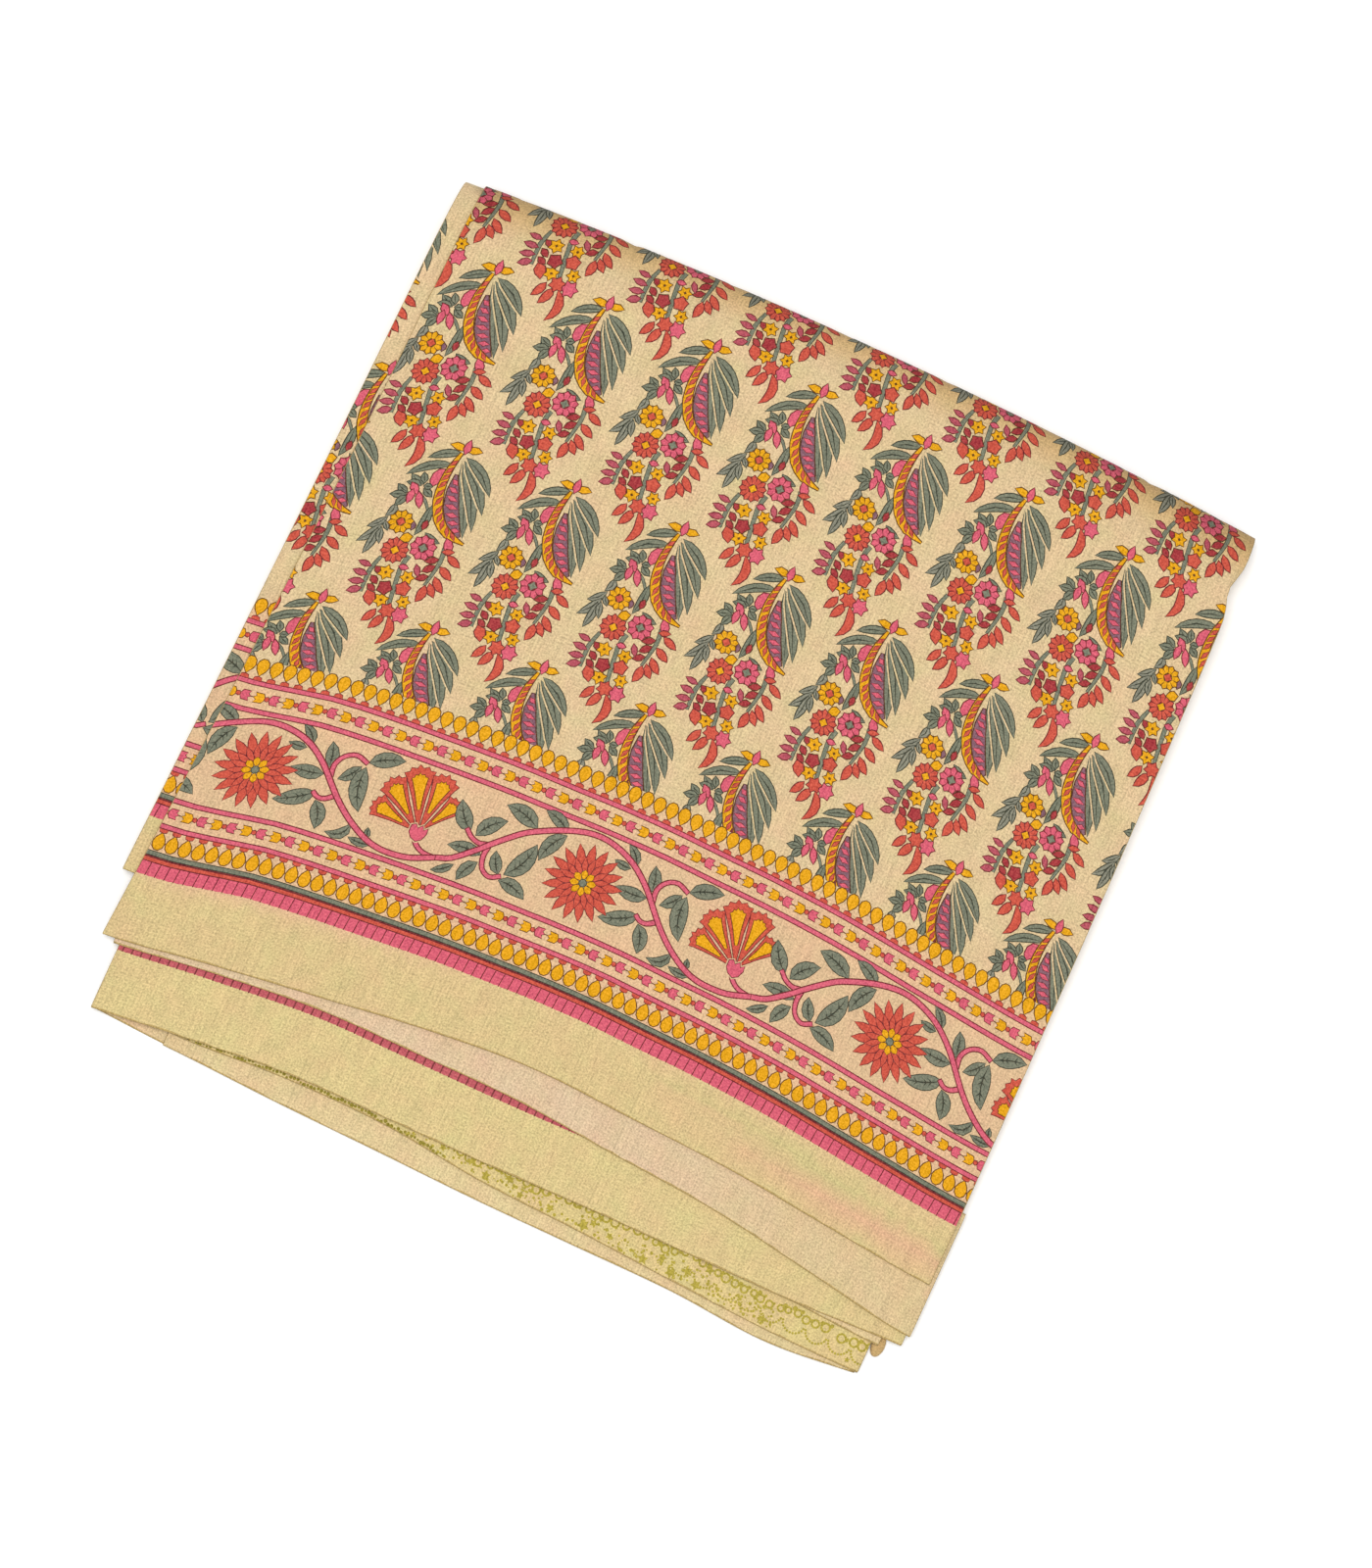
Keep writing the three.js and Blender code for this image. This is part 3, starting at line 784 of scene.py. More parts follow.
def printed_on(shapes):
    """The shapes moved up a little, most near the hem: the cloth wasn't quite straight when printed."""
    moved = []
    for outline, dye in shapes:
        x, v = outline.T
        lift = np.interp(x, LIFT_X, LIFT) * np.interp(v, LIFT_FADE_V, LIFT_FADE)
        moved.append((outline + np.stack([0 * x, lift], 1), dye))
    return moved


def field(v_end, rows):
    """All sprigs of these rows that show above the border and below the cloth's end."""
    shapes = []
    for v, pitch, first in rows:
        row = [(outline + (0, v), dye) for outline, dye in SPRIG]
        row = [(o, dye) for o, dye in row if o[:, 1].max() > SHOWS_FROM and o[:, 1].min() < v_end]
        shapes += repeated(row, pitch, first)
    return shapes


# %% [markdown]
# ## From a flat drawing to cloth
# Paint on a texture would blur when it is seen close, so the print is cut into the mesh: a
# constrained Delaunay triangulation keeps every outline as mesh edges, and each triangle takes the
# dye of the topmost shape that it lies in. Then the flat mesh is bent over the packet. The back of
# the cloth is a coarser mesh inside the same outline, and a ridged rim joins the two, because the
# wall stands for three thin plies whose edges lie on each other.

# %% Colours
def linear(hex_colour):
    """An sRGB hex colour as linear numbers."""
    c = np.array([int(hex_colour[n:n + 2], 16) for n in (1, 3, 5)]) / 255
    return np.where(c <= 0.04045, c / 12.92, ((c + 0.055) / 1.055) ** 2.4)


DYE_NAMES = list(DYES)
DYE_TABLE = np.array([[*(linear(c) if c else (0, 0, 0)), 1.0 if c else 0.0] for c in DYES.values()])


# %% Triangles inside an outline
def triangulated(outline, inner, shapes):
    """Flat points, triangles and a dye number for each triangle, with every shape's outline kept."""
    rings = [ccw(np.asarray(ring)) for ring in (outline, *(o for o, _ in shapes))]
    ends = np.cumsum([len(inner), *map(len, rings)])
    points = np.concatenate([inner, *rings])
    faces = [list(range(a, b)) for a, b in zip(ends, ends[1:])]
    made = delaunay_2d_cdt(points.tolist(), [], faces, 0, 1e-4)
    flat, triangles, within = np.array([tuple(p) for p in made[0]]), np.array(made[2]), made[5]
    top = np.array([max(ids) if ids and min(ids) == 0 else -1 for ids in within])
    dye = np.array([DYE_NAMES.index("cloth"), *(DYE_NAMES.index(d) for _, d in shapes)])
    keep = top >= 0
    return flat, triangles[keep], dye[top[keep]]


def rim_of(triangles):
    """The directed edges that only one triangle has."""
    edges = np.concatenate([triangles[:, [0, 1]], triangles[:, [1, 2]], triangles[:, [2, 0]]])
    key = edges.min(1) * (edges.max() + 1) + edges.max(1)
    _, first, count = np.unique(key, return_index=True, return_counts=True)
    return edges[first[count == 1]]


# %% The ridged rim and the cloth piece
RIM = ((0.17, 0.28), (0.34, 0.0), (0.50, 0.28), (0.67, 0.0), (0.84, 0.28))
FACE_GRID, EDGE_MARGIN = (10.0, 9.0), 1.5
BACK_STEP, BACK_MARGIN = 20, 4.0


def grid_inside(outline, step_x, step_v, margin):
    """Points of a grid, every second row shifted by half a step, that lie well inside the outline."""
    low, high = outline.min(0), outline.max(0)
    v = np.arange(low[1] + margin, high[1] - margin / 2, step_v)
    x = np.arange(low[0], high[0], step_x)
    gx, gv = np.meshgrid(x, v)
    gx = gx + (np.arange(len(v)) % 2)[:, None] * step_x / 2
    points = np.stack([gx.ravel(), gv.ravel()], 1)
    a, b = outline, np.roll(outline, -1, 0)
    crossing = (a[None, :, 1] > points[:, None, 1]) != (b[None, :, 1] > points[:, None, 1])
    slope = (b[:, 0] - a[:, 0]) / np.where(b[:, 1] == a[:, 1], 1, b[:, 1] - a[:, 1])
    left = points[:, None, 0] < a[None, :, 0] + slope * (points[:, None, 1] - a[None, :, 1])
    inside = (crossing & left).sum(1) % 2 == 1
    near = np.sqrt(((points[:, None] - outline[None]) ** 2).sum(-1)).min(1)
    return points[inside & (near > margin)]


def give_ground(mesh, tone, painted_shade=1):
    """Each point's ground colour, with a painted shade factor as alpha that darkens ground and dye, 1 where
    no shade is painted.
    """
    rows = np.ones((len(mesh.vertices), 4))
    rows[:, :3], rows[:, 3] = tone, painted_shade
    mesh.color_attributes.new("ground", "FLOAT_COLOR", "POINT").data.foreach_set("color", rows.ravel())


def give_uv(mesh, flat):
    """The UV map: where each corner's point lies on the flat cloth, in metres."""
    corners = np.empty(len(mesh.loops), np.int32)
    mesh.loops.foreach_get("vertex_index", corners)
    mesh.uv_layers.new(name="cloth").uv.foreach_set("vector", (flat[corners] * MM).ravel())


def cloth_piece(name, outline, place, shapes, ground, painted_shade=None, extra=()):
    """A closed thin cloth: the printed face, the plain back and the rim, bent by place(x, v, depth).
    Corners carry the dye, points the ground colour with painted shade as its alpha, and the UV map is the
    flat cloth in metres."""
    inner = grid_inside(outline, *FACE_GRID, EDGE_MARGIN)
    inner = np.concatenate([inner, extra]) if len(extra) else inner
    low, high = outline.min(0) - 1, outline.max(0) + 1
    shapes = [(o, dye) for o, dye in shapes if (o.max(0) > low).all() and (o.min(0) < high).all()]
    flat, face, dye = triangulated(outline, inner, shapes)
    used, packed = np.unique(face, return_inverse=True)
    flat, face = flat[used], packed.reshape(face.shape)
    rim = rim_of(face)
    rim_points, rim = np.unique(rim, return_inverse=True)
    rim = rim.reshape(-1, 2)
    edge = flat[rim_points]
    way = edge[rim[:, 1]] - edge[rim[:, 0]]
    outward = np.zeros_like(edge)
    for end in (0, 1):
        np.add.at(outward, rim[:, end], np.stack([way[:, 1], -way[:, 0]], 1))
    outward /= np.maximum(np.linalg.norm(outward, axis=1), 1e-9)[:, None]
    back_inner = grid_inside(outline, BACK_STEP, BACK_STEP / 2, BACK_MARGIN)
    made = delaunay_2d_cdt(np.concatenate([edge, back_inner]).tolist(), rim.tolist(), [], 1, 1e-6)
    back_flat, back_face = np.array([tuple(p) for p in made[0]]), np.array(made[2])
    source = np.array([ids[0] for ids in made[3]])
    if len(back_flat) != len(edge) + len(back_inner):
        raise ValueError(name + ": the back's points were merged")
    order = np.empty(len(source), int)
    order[source] = np.arange(len(source))

    starts, uvs = [], [flat]
    count = len(flat)
    points = [place(flat[:, 0], flat[:, 1], 0.0)]
    for share, out in RIM:
        moved = edge + outward * out
        points.append(place(moved[:, 0], moved[:, 1], share * PLY))
        uvs.append(moved)
        starts.append(count)
        count += len(edge)
    points.append(place(back_flat[:, 0], back_flat[:, 1], PLY))
    uvs.append(back_flat)
    rings = [rim_points, *(start + np.arange(len(edge)) for start in starts), count + order[:len(edge)]]
    walls = np.concatenate([np.stack([a[rim[:, 1]], a[rim[:, 0]], b[rim[:, 0]], b[rim[:, 1]]], 1)
                            for a, b in zip(rings, rings[1:])])
    walls = np.concatenate([walls[:, [0, 1, 2]], walls[:, [0, 2, 3]]])
    faces = np.concatenate([face, walls, count + back_face[:, ::-1]])
    points, uv = np.concatenate(points), np.concatenate(uvs)
    piece = mesh_object(name, points, faces)
    # The rim walls take the hem colour: partly the stitched hem, partly painted shade along every edge of
    # the ply.
    dyes = np.full(len(faces), DYE_NAMES.index("hem"))
    dyes[:len(face)], dyes[len(face) + len(walls):] = dye, DYE_NAMES.index("cloth")
    mesh = piece.data
    corner = np.repeat(DYE_TABLE[dyes], 3, axis=0)
    mesh.color_attributes.new("dye", "FLOAT_COLOR", "CORNER").data.foreach_set("color", corner.ravel())
    # The ground's alpha is painted shade, given along v; 1 paints none.
    give_ground(mesh, ground(uv[:, 0], uv[:, 1]), 1 if painted_shade is None else painted_shade(uv[:, 1]))
    give_uv(mesh, uv)
    print(name, "triangles:", len(faces), "printed face:", len(face))
    return piece


# %% [markdown]
# ## The tone of the undyed cloth
# The cloth is thin, so the plies below shine through it: the ground is a little pinker over a
# border, greener over leaves, and paler in the plain margin. These soft patches are worked out
# for each point of the mesh from a few long waves, and kept as a colour attribute. Over the bend
# of the fold the ground is painted browner and darker, as painted shade.

# %% Ground tones
# crown is the browner tone painted over the bend of the fold as shade.
TONES = {name: linear(c) for name, c in dict(
    margin="#cab684", border="#d2af8b", vine="#cdaf8b", field="#cfb791", rosy="#d3a688",
    green="#bfb47f", crown="#c9a877", inner="#d0b79a", lower="#cdbb86", plain="#d6bf94",
    printed="#d0bd84", beige="#d3bf93", base="#d8bf98", nose="#bc9d6c").items()}


def waves(x, v, size, seed, count=9):
    """Soft patches between -1 and 1: a sum of cosine waves of about this length, in seeded directions."""
    rng = np.random.default_rng(seed)
    angle, phase = rng.uniform(0, 2 * np.pi, count), rng.uniform(0, 2 * np.pi, count)
    per = 2 * np.pi / (size * rng.uniform(0.7, 1.5, count))
    total = sum(np.cos(p * (x * np.cos(a) + v * np.sin(a)) + f) for a, f, p in zip(angle, phase, per))
    return total / math.sqrt(count)


def blend(a, b, share):
    return a + (b - a) * np.clip(share, 0, 1)[..., None]


def ease(value, low, high):
    t = np.clip((value - low) / (high - low), 0, 1)
    return t * t * (3 - 2 * t)


def mottled(tone, x, v, rosy, green, seed):
    """A tone with rosy and green patches of the given strengths."""
    tone = blend(tone, TONES["rosy"], rosy * (0.5 + 0.5 * waves(x, v, 26, seed)))
    return blend(tone, TONES["green"], green * (0.5 + 0.5 * waves(x, v, 22, seed + 1)))


ZONES = ((30, "border"), (66, "vine"), (110, "border"), (132, "field"))
ZONE_BLUR = 3


def printed_ground(x, v):
    """The printed stretch: margin, border, vine band, border and field, each with its own tone."""
    tone = np.broadcast_to(TONES["margin"], (*np.shape(x), 3))
    for at, name in ZONES:
        tone = blend(tone, TONES[name], ease(v, at - ZONE_BLUR, at + ZONE_BLUR))
    tone = mottled(tone, x, v, 0.20, 0.28 * ease(v, 120, 150), 3)
    slant = v + 0.06 * (x - 60)  # two bands of the ply below shine through at the right
    right = ease(x, 30, 110) * (1 - ease(v, 24, 30))
    tone = blend(tone, TONES["green"], 0.9 * right * np.exp(-(((slant - 24) / 3.2) ** 2)))
    tone = blend(tone, TONES["rosy"], 0.85 * right * np.exp(-(((slant - 17) / 4.6) ** 2)))
    # Painted shade: over the bend of the fold the ground turns to the browner, darker crown tone.
    return blend(tone, TONES["crown"], ease(v, 345, 362))


def painted_fold_shade(v):
    """Painted shade: a factor that darkens the cloth over the bend of the fold, where it turns down away
    from the lamp.
    """
    return 1 - 0.05 * ease(v, 335, 352) - 0.24 * ease(v, 355, 370)


def plain_ground(name, rosy, green, seed):
    def ground(x, v):
        return mottled(np.broadcast_to(TONES[name], (*np.shape(x), 3)), x, v, rosy, green, seed)
    return ground


def inner_ground(x, v):
    """The wrong side is rosy at the left and nearly the margin's colour at the right, with a duller
    band where the hem above it ends."""
    tone = blend(plain_ground("inner", 0.25, 0.2, 25)(x, v), TONES["margin"], 0.55 * ease(x, 60, 170))
    return blend(tone, TONES["rosy"], 0.5 * ease(x, 90, 150) * np.exp(-(((v - 24) / 3.5) ** 2)))


# %% [markdown]
# ## The cloth itself
# Light cotton-silk is a loose plain weave of uneven threads. From a step away it shows as fine
# streaks along the warp, some thicker than others, crossed by fainter ones. Pigment lies on the
# tops of the threads, so a printed patch looks finely grained, and the ground peeps through it.
# The real threads are 0.3 mm apart, too fine for the picture, so they are drawn about 0.9 mm apart.

# %% A small helper for shader nodes
def add_node(material, kind, settings=None, links=None):
    """Adds a node of this kind, sets its sockets or properties, and links outputs into its inputs."""
    node = material.node_tree.nodes.new("ShaderNode" + kind)
    for key, value in (settings or {}).items():
        if isinstance(key, str) and hasattr(node, key) and key not in node.inputs:
            setattr(node, key, value)
        else:
            node.inputs[key].default_value = value
    for key, output in (links or {}).items():
        material.node_tree.links.new(output, node.inputs[key])
    return node


THREAD = 0.9  # mm, drawn three times as coarse as it is
WARP_LONG, WEFT_LONG = 16.0, 9.0
GRAIN_SHARE, WARP_SHARE, WEFT_SHARE = 0.56, 0.28, 0.16
PATCH = 9  # mm, the size of the faint warm and cool patches


def woven_cotton_silk(name):
    """Slubby cotton-silk, plain-woven: matte, with a faint sheen, streaked along both thread ways."""
    material = bpy.data.materials.new(name)
    material.use_nodes = True
    material.node_tree.nodes.clear()
    node = partial(add_node, material)
    uv = node("UVMap", {"uv_map": "cloth"}).outputs["UV"]

    def threads(scale_x, scale_y, detail):
        stretched = node("Mapping", {"Scale": (1 / (scale_x * MM), 1 / (scale_y * MM), 1)}, {"Vector": uv})
        return node("TexNoise", {"Scale": 1.0, "Detail": detail, "Roughness": 0.6},
                    {"Vector": stretched.outputs["Vector"]}).outputs["Fac"]

    warp = threads(THREAD, WARP_LONG, 2.0)
    weft = threads(WEFT_LONG, THREAD, 2.0)
    grain = threads(THREAD, THREAD, 1.0)
    weave = node("Math", {"operation": "MULTIPLY", 1: GRAIN_SHARE}, {0: grain}).outputs[0]
    for part, share in ((warp, WARP_SHARE), (weft, WEFT_SHARE)):
        weave = node("Math", {"operation": "MULTIPLY_ADD", 1: share}, {0: part, 2: weave}).outputs[0]
    ground = node("VertexColor", {"layer_name": "ground"})
    light = node("MapRange", {"From Min": 0.36, "From Max": 0.64, "To Min": 0.68, "To Max": 1.22},
                 {"Value": weave})
    # The ground's alpha is painted shade: it darkens the ground here and the ink below alike.
    shade = node("Math", {"operation": "MULTIPLY"}, {0: light.outputs[0], 1: ground.outputs["Alpha"]})
    patches = node("TexNoise", {"Scale": 1 / (PATCH * MM), "Detail": 1.0}, {"Vector": uv})
    tint = node("Mix", {"data_type": "RGBA", 6: (1.06, 0.97, 0.97, 1), 7: (0.96, 1.03, 0.95, 1)},
                {0: patches.outputs["Fac"]}).outputs[2]
    tinted = node("VectorMath", {"operation": "MULTIPLY"}, {0: ground.outputs["Color"], 1: tint}).outputs[0]
    toned = node("VectorMath", {"operation": "SCALE"}, {0: tinted, "Scale": shade.outputs[0]}).outputs[0]
    dye = node("VertexColor", {"layer_name": "dye"})
    cover = node("MapRange", {"From Min": 0.38, "From Max": 0.62, "To Min": 1.0, "To Max": 0.93},
                 {"Value": weave})
    amount = node("Math", {"operation": "MULTIPLY"}, {0: dye.outputs["Alpha"], 1: cover.outputs[0]})
    inked = node("VectorMath", {"operation": "SCALE"},
                 {0: dye.outputs["Color"], "Scale": shade.outputs[0]}).outputs[0]
    toned = node("Mix", {"data_type": "RGBA"}, {0: amount.outputs[0], 6: toned, 7: inked}).outputs[2]
    bump = node("Bump", {"Strength": 0.35, "Distance": 0.12 * MM}, {"Height": weave})
    shader = node("BsdfPrincipled", {"Roughness": 0.86, "Specular IOR Level": 0.1,
                                     "Sheen Weight": 0.05, "Sheen Roughness": 0.45},
                  {"Base Color": toned, "Normal": bump.outputs["Normal"]})
    node("OutputMaterial", None, {"Surface": shader.outputs["BSDF"]})
    return material


CLOTHS = {slot: woven_cotton_silk(name) for slot, name in (
    ("printed_cloth", "printed cotton-silk"), ("plain_cloth", "plain cotton-silk"),
    ("end_piece_cloth", "end-piece cotton-silk"))}

# %% The floor's paper
PAPER_WHITE = 0.95
paper = bpy.data.materials.new("white paper")
paper.use_nodes = True
sockets = paper.node_tree.nodes["Principled BSDF"].inputs
sockets["Base Color"].default_value = (PAPER_WHITE, PAPER_WHITE, PAPER_WHITE, 1)
sockets["Roughness"].default_value = 0.9
floor.data.materials.append(paper)


# %% [markdown]
# ## The top ply
# This is the ply that shows best: from its hem at the front, over the packet and round the fold to
# the underside. Its sides are folded edges, so they bow a little. The print is drawn flat over its
# whole stretch and goes round the fold with it.

# %% Outlines of the two wrapped plies
HEM_STEP = 5.0


def wrapped_outline(left, right, setback, steps):
    """The flat outline: hem, right side, end and left side, from the packet's own lines."""
    place = wrapped(setback, SKIN)
    x = np.linspace(left(FRONT), right(FRONT), round(PACKET_WIDTH / HEM_STEP))
    end_x = np.linspace(left(FOLD_CROWN), right(FOLD_CROWN), round(PACKET_WIDTH / HEM_STEP))
    end = np.stack([end_x, wrapped_length(end_x, setback, steps)], 1)

    def side(line, v_end):
        v = np.linspace(0, v_end, round(v_end / HEM_STEP) + 1)
        at = np.full_like(v, line(FRONT))
        for _ in range(4):  # x depends on y, and y a little on x, so it is settled in a few rounds
            at = line(place(at, v, 0.0)[:, 1])
        return np.stack([at, v], 1)

    lefts, rights = side(left, end[0, 1]), side(right, end[-1, 1])
    hem_x = np.linspace(lefts[0, 0], rights[0, 0], len(x))
    end[:, 0] = np.linspace(lefts[-1, 0], rights[-1, 0], len(end))
    return np.concatenate([np.stack([hem_x, 0 * hem_x], 1), rights[1:], end[-2:0:-1], lefts[:0:-1]])


def top_left(y):
    return side_at(TOP_LEFT, y)


def top_right(y):
    return side_at(TOP_RIGHT, y) - notch_at(y)


def second_left(y):
    return side_at(SECOND_LEFT, y)


def second_right(y):
    return side_at(TOP_RIGHT, y) - SECOND_INSET - NOTCH_UNDER * notch_at(y)


def dressed(piece, node, slot):
    """What every piece needs: the material for its slot, its body, and the node that it stands for hidden.
    """
    piece.data.materials.append(CLOTHS[slot])
    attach(piece, "root")
    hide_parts(node)


def dressed_sheet(piece, node, slot):
    """A dressed piece of cloth, dressed like any other piece."""
    dressed(piece, node, slot)


# %% The top ply with the whole print
top_outline = wrapped_outline(top_left, top_right, 0, TOP_TURN)
V_END = top_outline[:, 1].max()
top_print = printed_on(field(V_END, SPRIG_ROWS) + BORDER) + hem_with_painted_shadow(2)
print("top ply, mm:", np.ptp(top_outline, axis=0).round(1))
ROUND_START = 318  # from here on the cloth bends round the fold, so its points lie closer
round_grid = grid_inside(top_outline, 12.0, 3.4, EDGE_MARGIN)
round_grid = round_grid[round_grid[:, 1] > ROUND_START]
# The bend of its fold gets painted shade, multiplied into ground and print.
top_layer = cloth_piece("top_cloth", top_outline, wrapped(0, SKIN), top_print, printed_ground,
                        painted_fold_shade, round_grid)
dressed_sheet(top_layer, "top_layer", "printed_cloth")

# %% [markdown]
# ## The ply under it
# Only a strip of this ply shows along the left, with the same print about 31 mm further back. The
# rest is covered, so the print is drawn on that strip alone.

# %% The second ply
SHOWN_LEFT = -172
SECOND_SHIFT = (6, -4.5)  # it lies this much further right and nearer the hem in its own print
second_outline = wrapped_outline(second_left, second_right, SECOND_SETBACK, SECOND_TURN)
strip = printed_on(field(second_outline[:, 1].max(), SPRIG_ROWS[1:]) + BORDER)
strip = [(outline + SECOND_SHIFT, dye) for outline, dye in strip if outline[:, 0].min() < SHOWN_LEFT]
strip += hem_with_painted_shadow(5)
# The bend of its fold gets painted shade as well.
second_layer = cloth_piece("second_cloth", second_outline, wrapped(SECOND_SETBACK, SKIN - PITCH), strip,
                           printed_ground, painted_fold_shade)
dressed_sheet(second_layer, "second_layer", "printed_cloth")

# %% [markdown]
# ## The fan of hems
# Under the top hem the other plies come forward one after the other: a rosy one that shows its
# wrong side, a yellow-green one with a dull crimson band, a plain one, the end piece with an edging
# in olive on nearly the same olive, and two plain ones down on the surface.

# %% Outlines of the fan
FAN = [  # piece, node, the name of its hem and tone, left, right, slot; the lowest comes first
    ("base_cloth", "base_ply", "base", -193.4, 190.6, "plain_cloth"),
    ("beige_cloth", "beige_ply", "beige", -157.8, 191.4, "plain_cloth"),
    ("end_piece_cloth", "printed_end", "printed", -157.2, 192.6, "end_piece_cloth"),
    ("plain_cloth", "plain_ply", "plain", -192.0, 195.9, "plain_cloth"),
    ("lower_border_cloth", "lower_border", "lower", -194.4, 205.4, "printed_cloth"),
    ("inner_selvedge_cloth", "inner_selvedge", "inner", -197.2, 207.2, "plain_cloth"),
]


def fan_outline(column, left, right, back):
    """The flat outline of a fan ply between its sides, from its hem to back(x)."""
    x = np.linspace(left, right, round((right - left) / HEM_STEP))
    far = back(x) - hem_at(x, column)
    rows = [np.linspace(0, far[n], max(3, round(far[n] / HEM_STEP))) for n in (-1, 0)]
    sides = [np.stack([np.full_like(v, edge), v], 1) for v, edge in zip(rows, (right, left))]
    return np.concatenate([np.stack([x, 0 * x], 1), sides[0][1:-1], np.stack([x, far], 1)[::-1],
                           sides[1][-2:0:-1]])


def under_core(x):
    return hem_at(x, "top") + CORE_SETBACK - SEAM


def under_fold(x):
    return core_fold(x) - ROLL_BOTTOM


CRIMSON_BAND = dict(low=29.0, high=37.0, pitch=4.3, slant=0.3, wide=0.7, scallop=0.4, dye="crimson",
                    key="key crimson")
KNOTS = [  # x, v, radius
    (-22, 4.4, 2.0), (-8, 5.6, 2.2), (1, 3.4, 2.5), (12, 6.8, 2.3), (19, 2.6, 2.0), (34, 3.4, 2.2),
    (51, 3.2, 3.2), (55, 6.2, 2.3), (64, 4.4, 2.0), (82, 2.4, 2.8), (90, 7.2, 2.3), (96, 2.8, 2.8),
    (103, 7.0, 2.6), (109, 3.2, 2.8), (112, 12.4, 2.6), (143, 3.6, 2.4), (119, 6.2, 1.4),
    (131, 5.0, 1.3), (186, 3.2, 1.5),
]
CRUMBS = 260


def lace():
    """The end piece's print, olive on nearly the same olive: knots, rings, swags of dots and crumbs."""
    rng = np.random.default_rng(11)
    shapes = [(bloom((x, v), r, 5, 0.5, rng.uniform(0, 6)), "olive") for x, v, r in KNOTS]
    rings = [(x, 12.0 + 0.5 * math.sin(x / 6)) for x in np.arange(116, 196, 4.6)]
    rings += [(x, 8.2 + 0.05 * x + 0.9 * math.sin(x / 5)) for x in np.arange(-14, 112, 4.9)]
    rings = np.array(rings) + rng.uniform(-0.7, 0.7, (len(rings), 2))
    rings = rings[rng.uniform(size=len(rings)) > 0.04]
    shapes += [(disc(at + rng.uniform(-1, 1, 2) + (2.3, 1.2), rng.uniform(0.7, 1.5), 6), "olive")
               for at in rings]
    shapes += [shape for at, r in zip(rings, rng.uniform(1.9, 2.6, len(rings)))
               for shape in ((disc(at, r, 10), "olive"), (disc(at, r - 0.95, 7), "cloth"))]
    swags = [(x + 5.2 * math.cos(a), 8.4 + 4.8 * math.sin(a))
             for x in np.arange(100, 192, 11.4) for a in np.radians(np.arange(190, 352, 16))]
    crumbs = np.stack([rng.uniform(-40, 150, CRUMBS), rng.uniform(0.8, 10.5, CRUMBS)], 1)
    shapes += [(disc(at, 0.66, 5), "olive") for at in swags]
    shapes += [(disc(at, r, 5), "olive") for at, r in zip(crumbs, rng.uniform(0.35, 0.95, CRUMBS))]
    edge = np.arange(-158, -20, 1.7)
    shapes += [(disc((x, v), r, 6), "dark olive") for x, v, r in
               zip(edge, rng.uniform(0.3, 1.7, len(edge)), rng.uniform(0.5, 1.1, len(edge)))]
    return shapes


def streaks():
    """Dull olive streaks near the hem, where a printed ply shines through the one on top."""
    return [(leaf((x, 1.0 + 0.02 * (x - 20)), (x + 26, 2.6 - 0.01 * x), wide, 0.02, 0.5, 7), "weak olive")
            for x, wide in ((14, 1.6), (34, 2.4), (56, 2.2), (78, 2.6), (98, 1.4))]


fan_print = {"lower_border_cloth": tick_band(**CRIMSON_BAND), "end_piece_cloth": lace(),
             "base_cloth": streaks()}
for number, (piece, node, column, left, right, slot) in enumerate(FAN):
    outline = fan_outline(column, left, right, under_core if number else under_fold)
    shapes = hem_with_painted_shadow(number + 30) + fan_print.get(piece, [])
    ground = plain_ground(column, 0.25, 0.2, number + 20) if column != "inner" else inner_ground
    made = cloth_piece(piece, outline, level(column, number), shapes, ground)
    dressed_sheet(made, node, slot)

# %% [markdown]
# ## The hidden plies
# Between the upper plies and the base lie about forty more. Their folds show only at the packet's
# sides, as a stack of thin rounded edges that never lie quite on each other. So this piece is one
# body with 15 ridges, one for every two or three plies, each with its own small overhang.

# %% A stack of rounded edges
CORE_COLUMNS, CORE_ROWS = 64, 70
CORE_LEFT, CORE_RIGHT = 2.2, 2.4  # how far the core keeps inside the second ply's sides
RIDGES = 15
ROUNDING = ((0.0, 1.0), (0.12, 0.45), (0.32, 0.08), (0.55, 0.0), (0.78, 0.16), (0.93, 0.55))
GROOVE = 1.1
OVERHANG = 1.2


def core_point(u, v, w, inset, overhang):
    """The hidden plies' body: u from left to right, v from front to back, w from bottom to top."""
    angle = np.pi * (1 - w)
    guess = -HALF_WIDTH + 2 * HALF_WIDTH * u
    front = hem_at(guess, "top") + CORE_SETBACK + inset
    back = round_y(guess, angle)
    y = front + (back - front) * v
    left = second_left(y) + CORE_LEFT + inset + overhang
    right = second_right(y) - CORE_RIGHT - inset - overhang
    x = left + (right - left) * u
    z = PITCH + (bed_at(x, y) - PITCH) * (0.5 + 0.5 * np.cos(angle))
    return np.stack([x, y, creased(x, y, z)], -1)


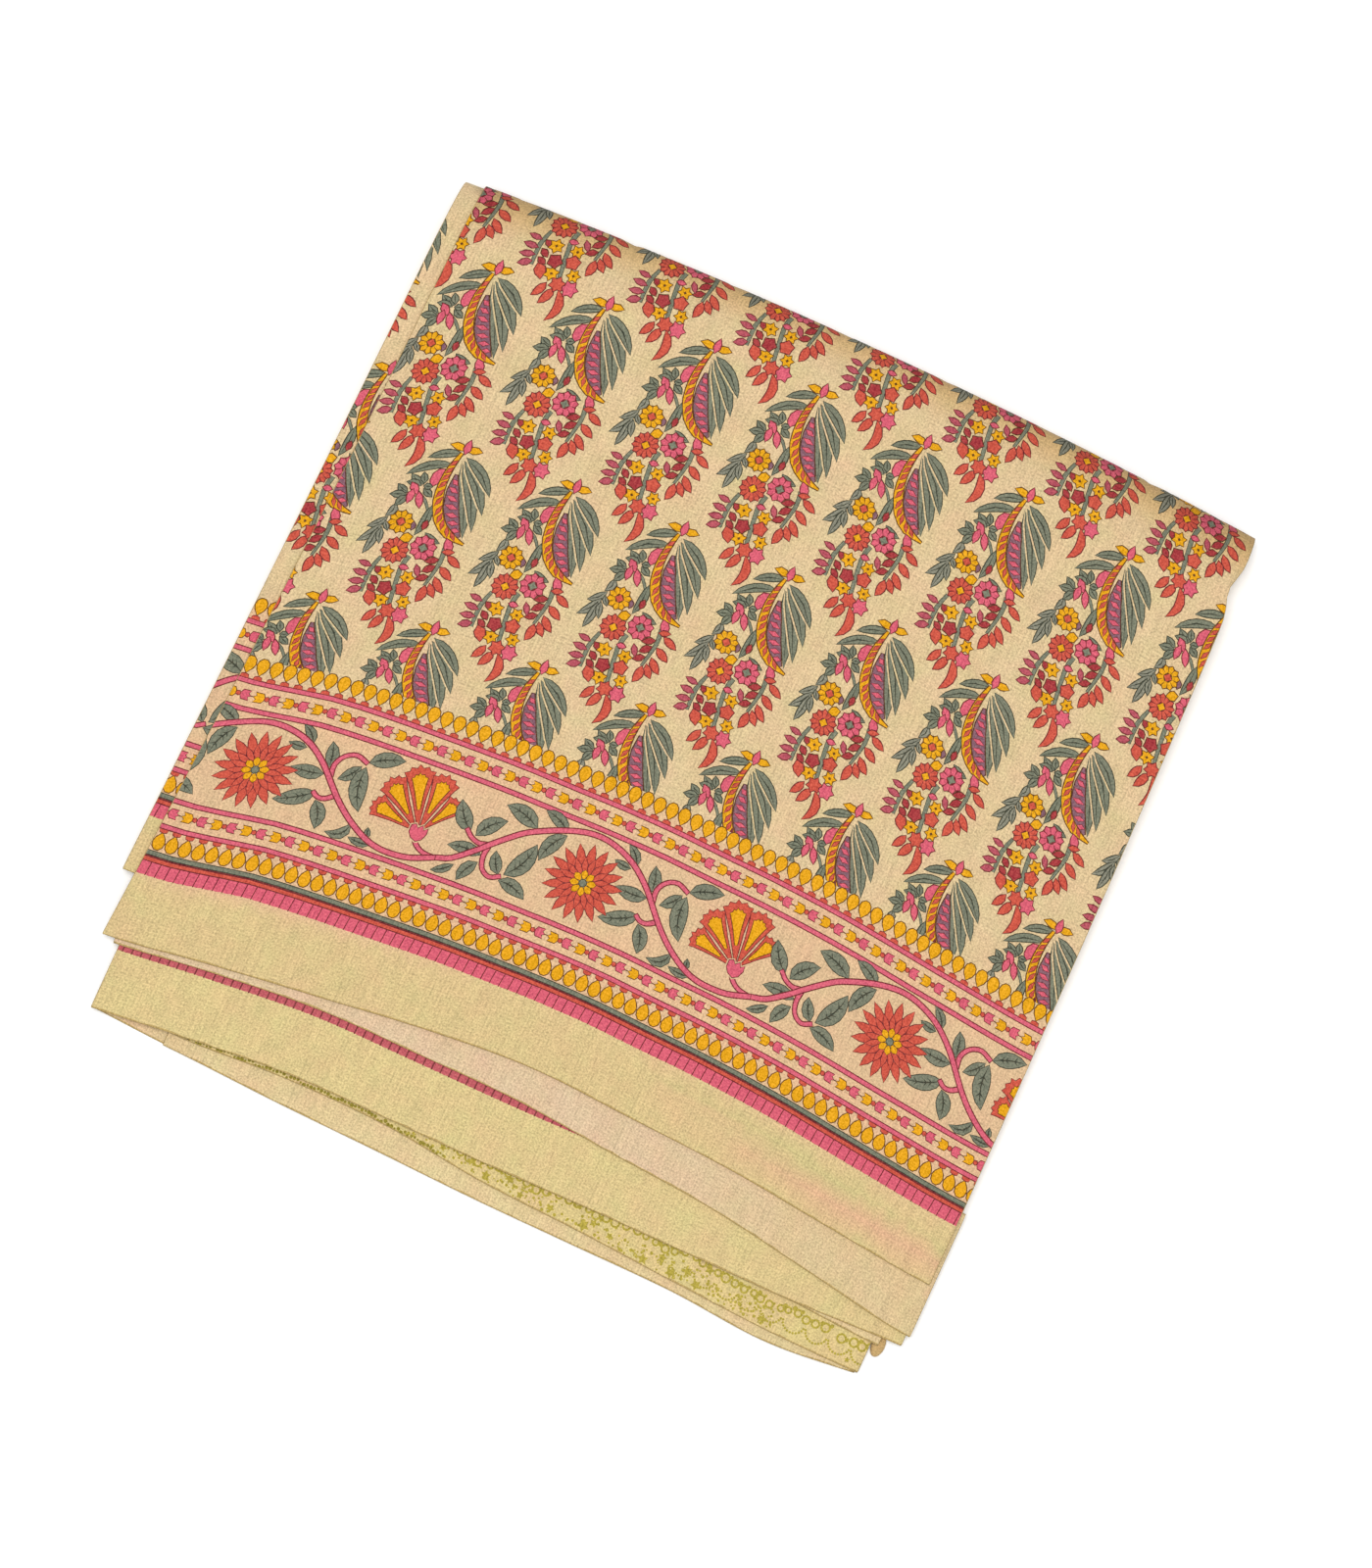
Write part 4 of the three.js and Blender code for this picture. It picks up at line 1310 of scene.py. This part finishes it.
def folded_core():
    """A lattice of columns, rows and levels, of which only the outer faces are kept."""
    rng = np.random.default_rng(7)
    share = np.array([(ridge + s) / RIDGES for ridge in range(RIDGES) for s, _ in ROUNDING] + [1.0])
    groove = np.array([GROOVE * g for _ in range(RIDGES) for _, g in ROUNDING] + [GROOVE])
    lean = rng.uniform(0, OVERHANG, RIDGES)
    sway = rng.uniform(0, 2 * np.pi, RIDGES)
    ridge = np.minimum(np.arange(len(share)) // len(ROUNDING), RIDGES - 1)
    u, v = np.linspace(0, 1, CORE_COLUMNS + 1), np.linspace(0, 1, CORE_ROWS + 1)
    w = np.arccos(1 - 2 * share) / np.pi  # levels evenly spaced in height
    gw, gv, gu = np.meshgrid(np.arange(len(w)), v, u, indexing="ij")
    overhang = lean[ridge][gw] * (0.6 + 0.4 * np.sin(5 * gv + sway[ridge][gw] + 4 * gu))
    points = core_point(gu, gv, w[gw], groove[gw], overhang)
    number = np.arange(points[..., 0].size).reshape(gu.shape)

    def sheet(n, flip):
        quads = np.stack([n[:-1, :-1], n[:-1, 1:], n[1:, 1:], n[1:, :-1]], -1).reshape(-1, 4)
        return quads[:, ::-1] if flip else quads

    faces = np.concatenate([
        sheet(number[0], True), sheet(number[-1], False), sheet(number[:, 0], False),
        sheet(number[:, -1], True), sheet(number[:, :, 0], True), sheet(number[:, :, -1], False)])
    used, packed = np.unique(faces, return_inverse=True)
    return points.reshape(-1, 3)[used], packed.reshape(faces.shape)


core_points, core_faces = folded_core()
core = mesh_object("folded_core_cloth", core_points, core_faces)
x, y, z = core_points.T
give_ground(core.data, plain_ground("plain", 0.3, 0.3, 40)(x + y, z * 9))
give_uv(core.data, core_points[:, :2])
dressed(core, "folded_core", "plain_cloth")
print("ridges for the hidden plies:", RIDGES, "faces:", len(core_faces))

# %% [markdown]
# ## The end that sticks out
# At the front right corner the rounded end of one inner fold shows as a small darker nose.

# %% The small folded end
END_AT, END_HALF = (196.4, -196.4, 2.1), (3.2, 5.6, 2.1)
DIP, DIP_HALF = 0.12, 0.3


def nose():
    """A flat ellipsoid: two angles give the direction, and END_HALF scales it. A soft crease runs
    over its middle, where it is lower by the share DIP."""
    rings, sides = 15, 28
    up = np.linspace(0, np.pi, rings + 1)[1:-1, None]
    turn = np.arange(sides) / sides * 2 * np.pi
    x, y, z = np.sin(up) * np.cos(turn), np.sin(up) * np.sin(turn), np.cos(up) + 0 * turn
    z = z * (1 - DIP * np.exp(-((x / DIP_HALF) ** 2)))
    points = np.stack([x, y, z], -1).reshape(-1, 3)
    points = np.concatenate([points, [(0, 0, 1 - DIP), (0, 0, -1)]]) * END_HALF + END_AT
    ring = np.arange((rings - 1) * sides).reshape(rings - 1, sides)
    a, b = ring[:-1], ring[1:]
    quads = np.stack([a, b, np.roll(b, -1, 1), np.roll(a, -1, 1)], -1).reshape(-1, 4)
    top, bottom = len(points) - 2, len(points) - 1
    caps = [(top, n, (n + 1) % sides) for n in range(sides)]
    last = (rings - 2) * sides
    caps += [(bottom, last + (n + 1) % sides, last + n) for n in range(sides)]
    return points, [*quads.tolist(), *caps]


nose_points, nose_faces = nose()
fold_end = mesh_object("folded_end", nose_points, nose_faces)
give_ground(fold_end.data, TONES["nose"])
give_uv(fold_end.data, nose_points[:, :2])
dressed(fold_end, "fold_end", "plain_cloth")
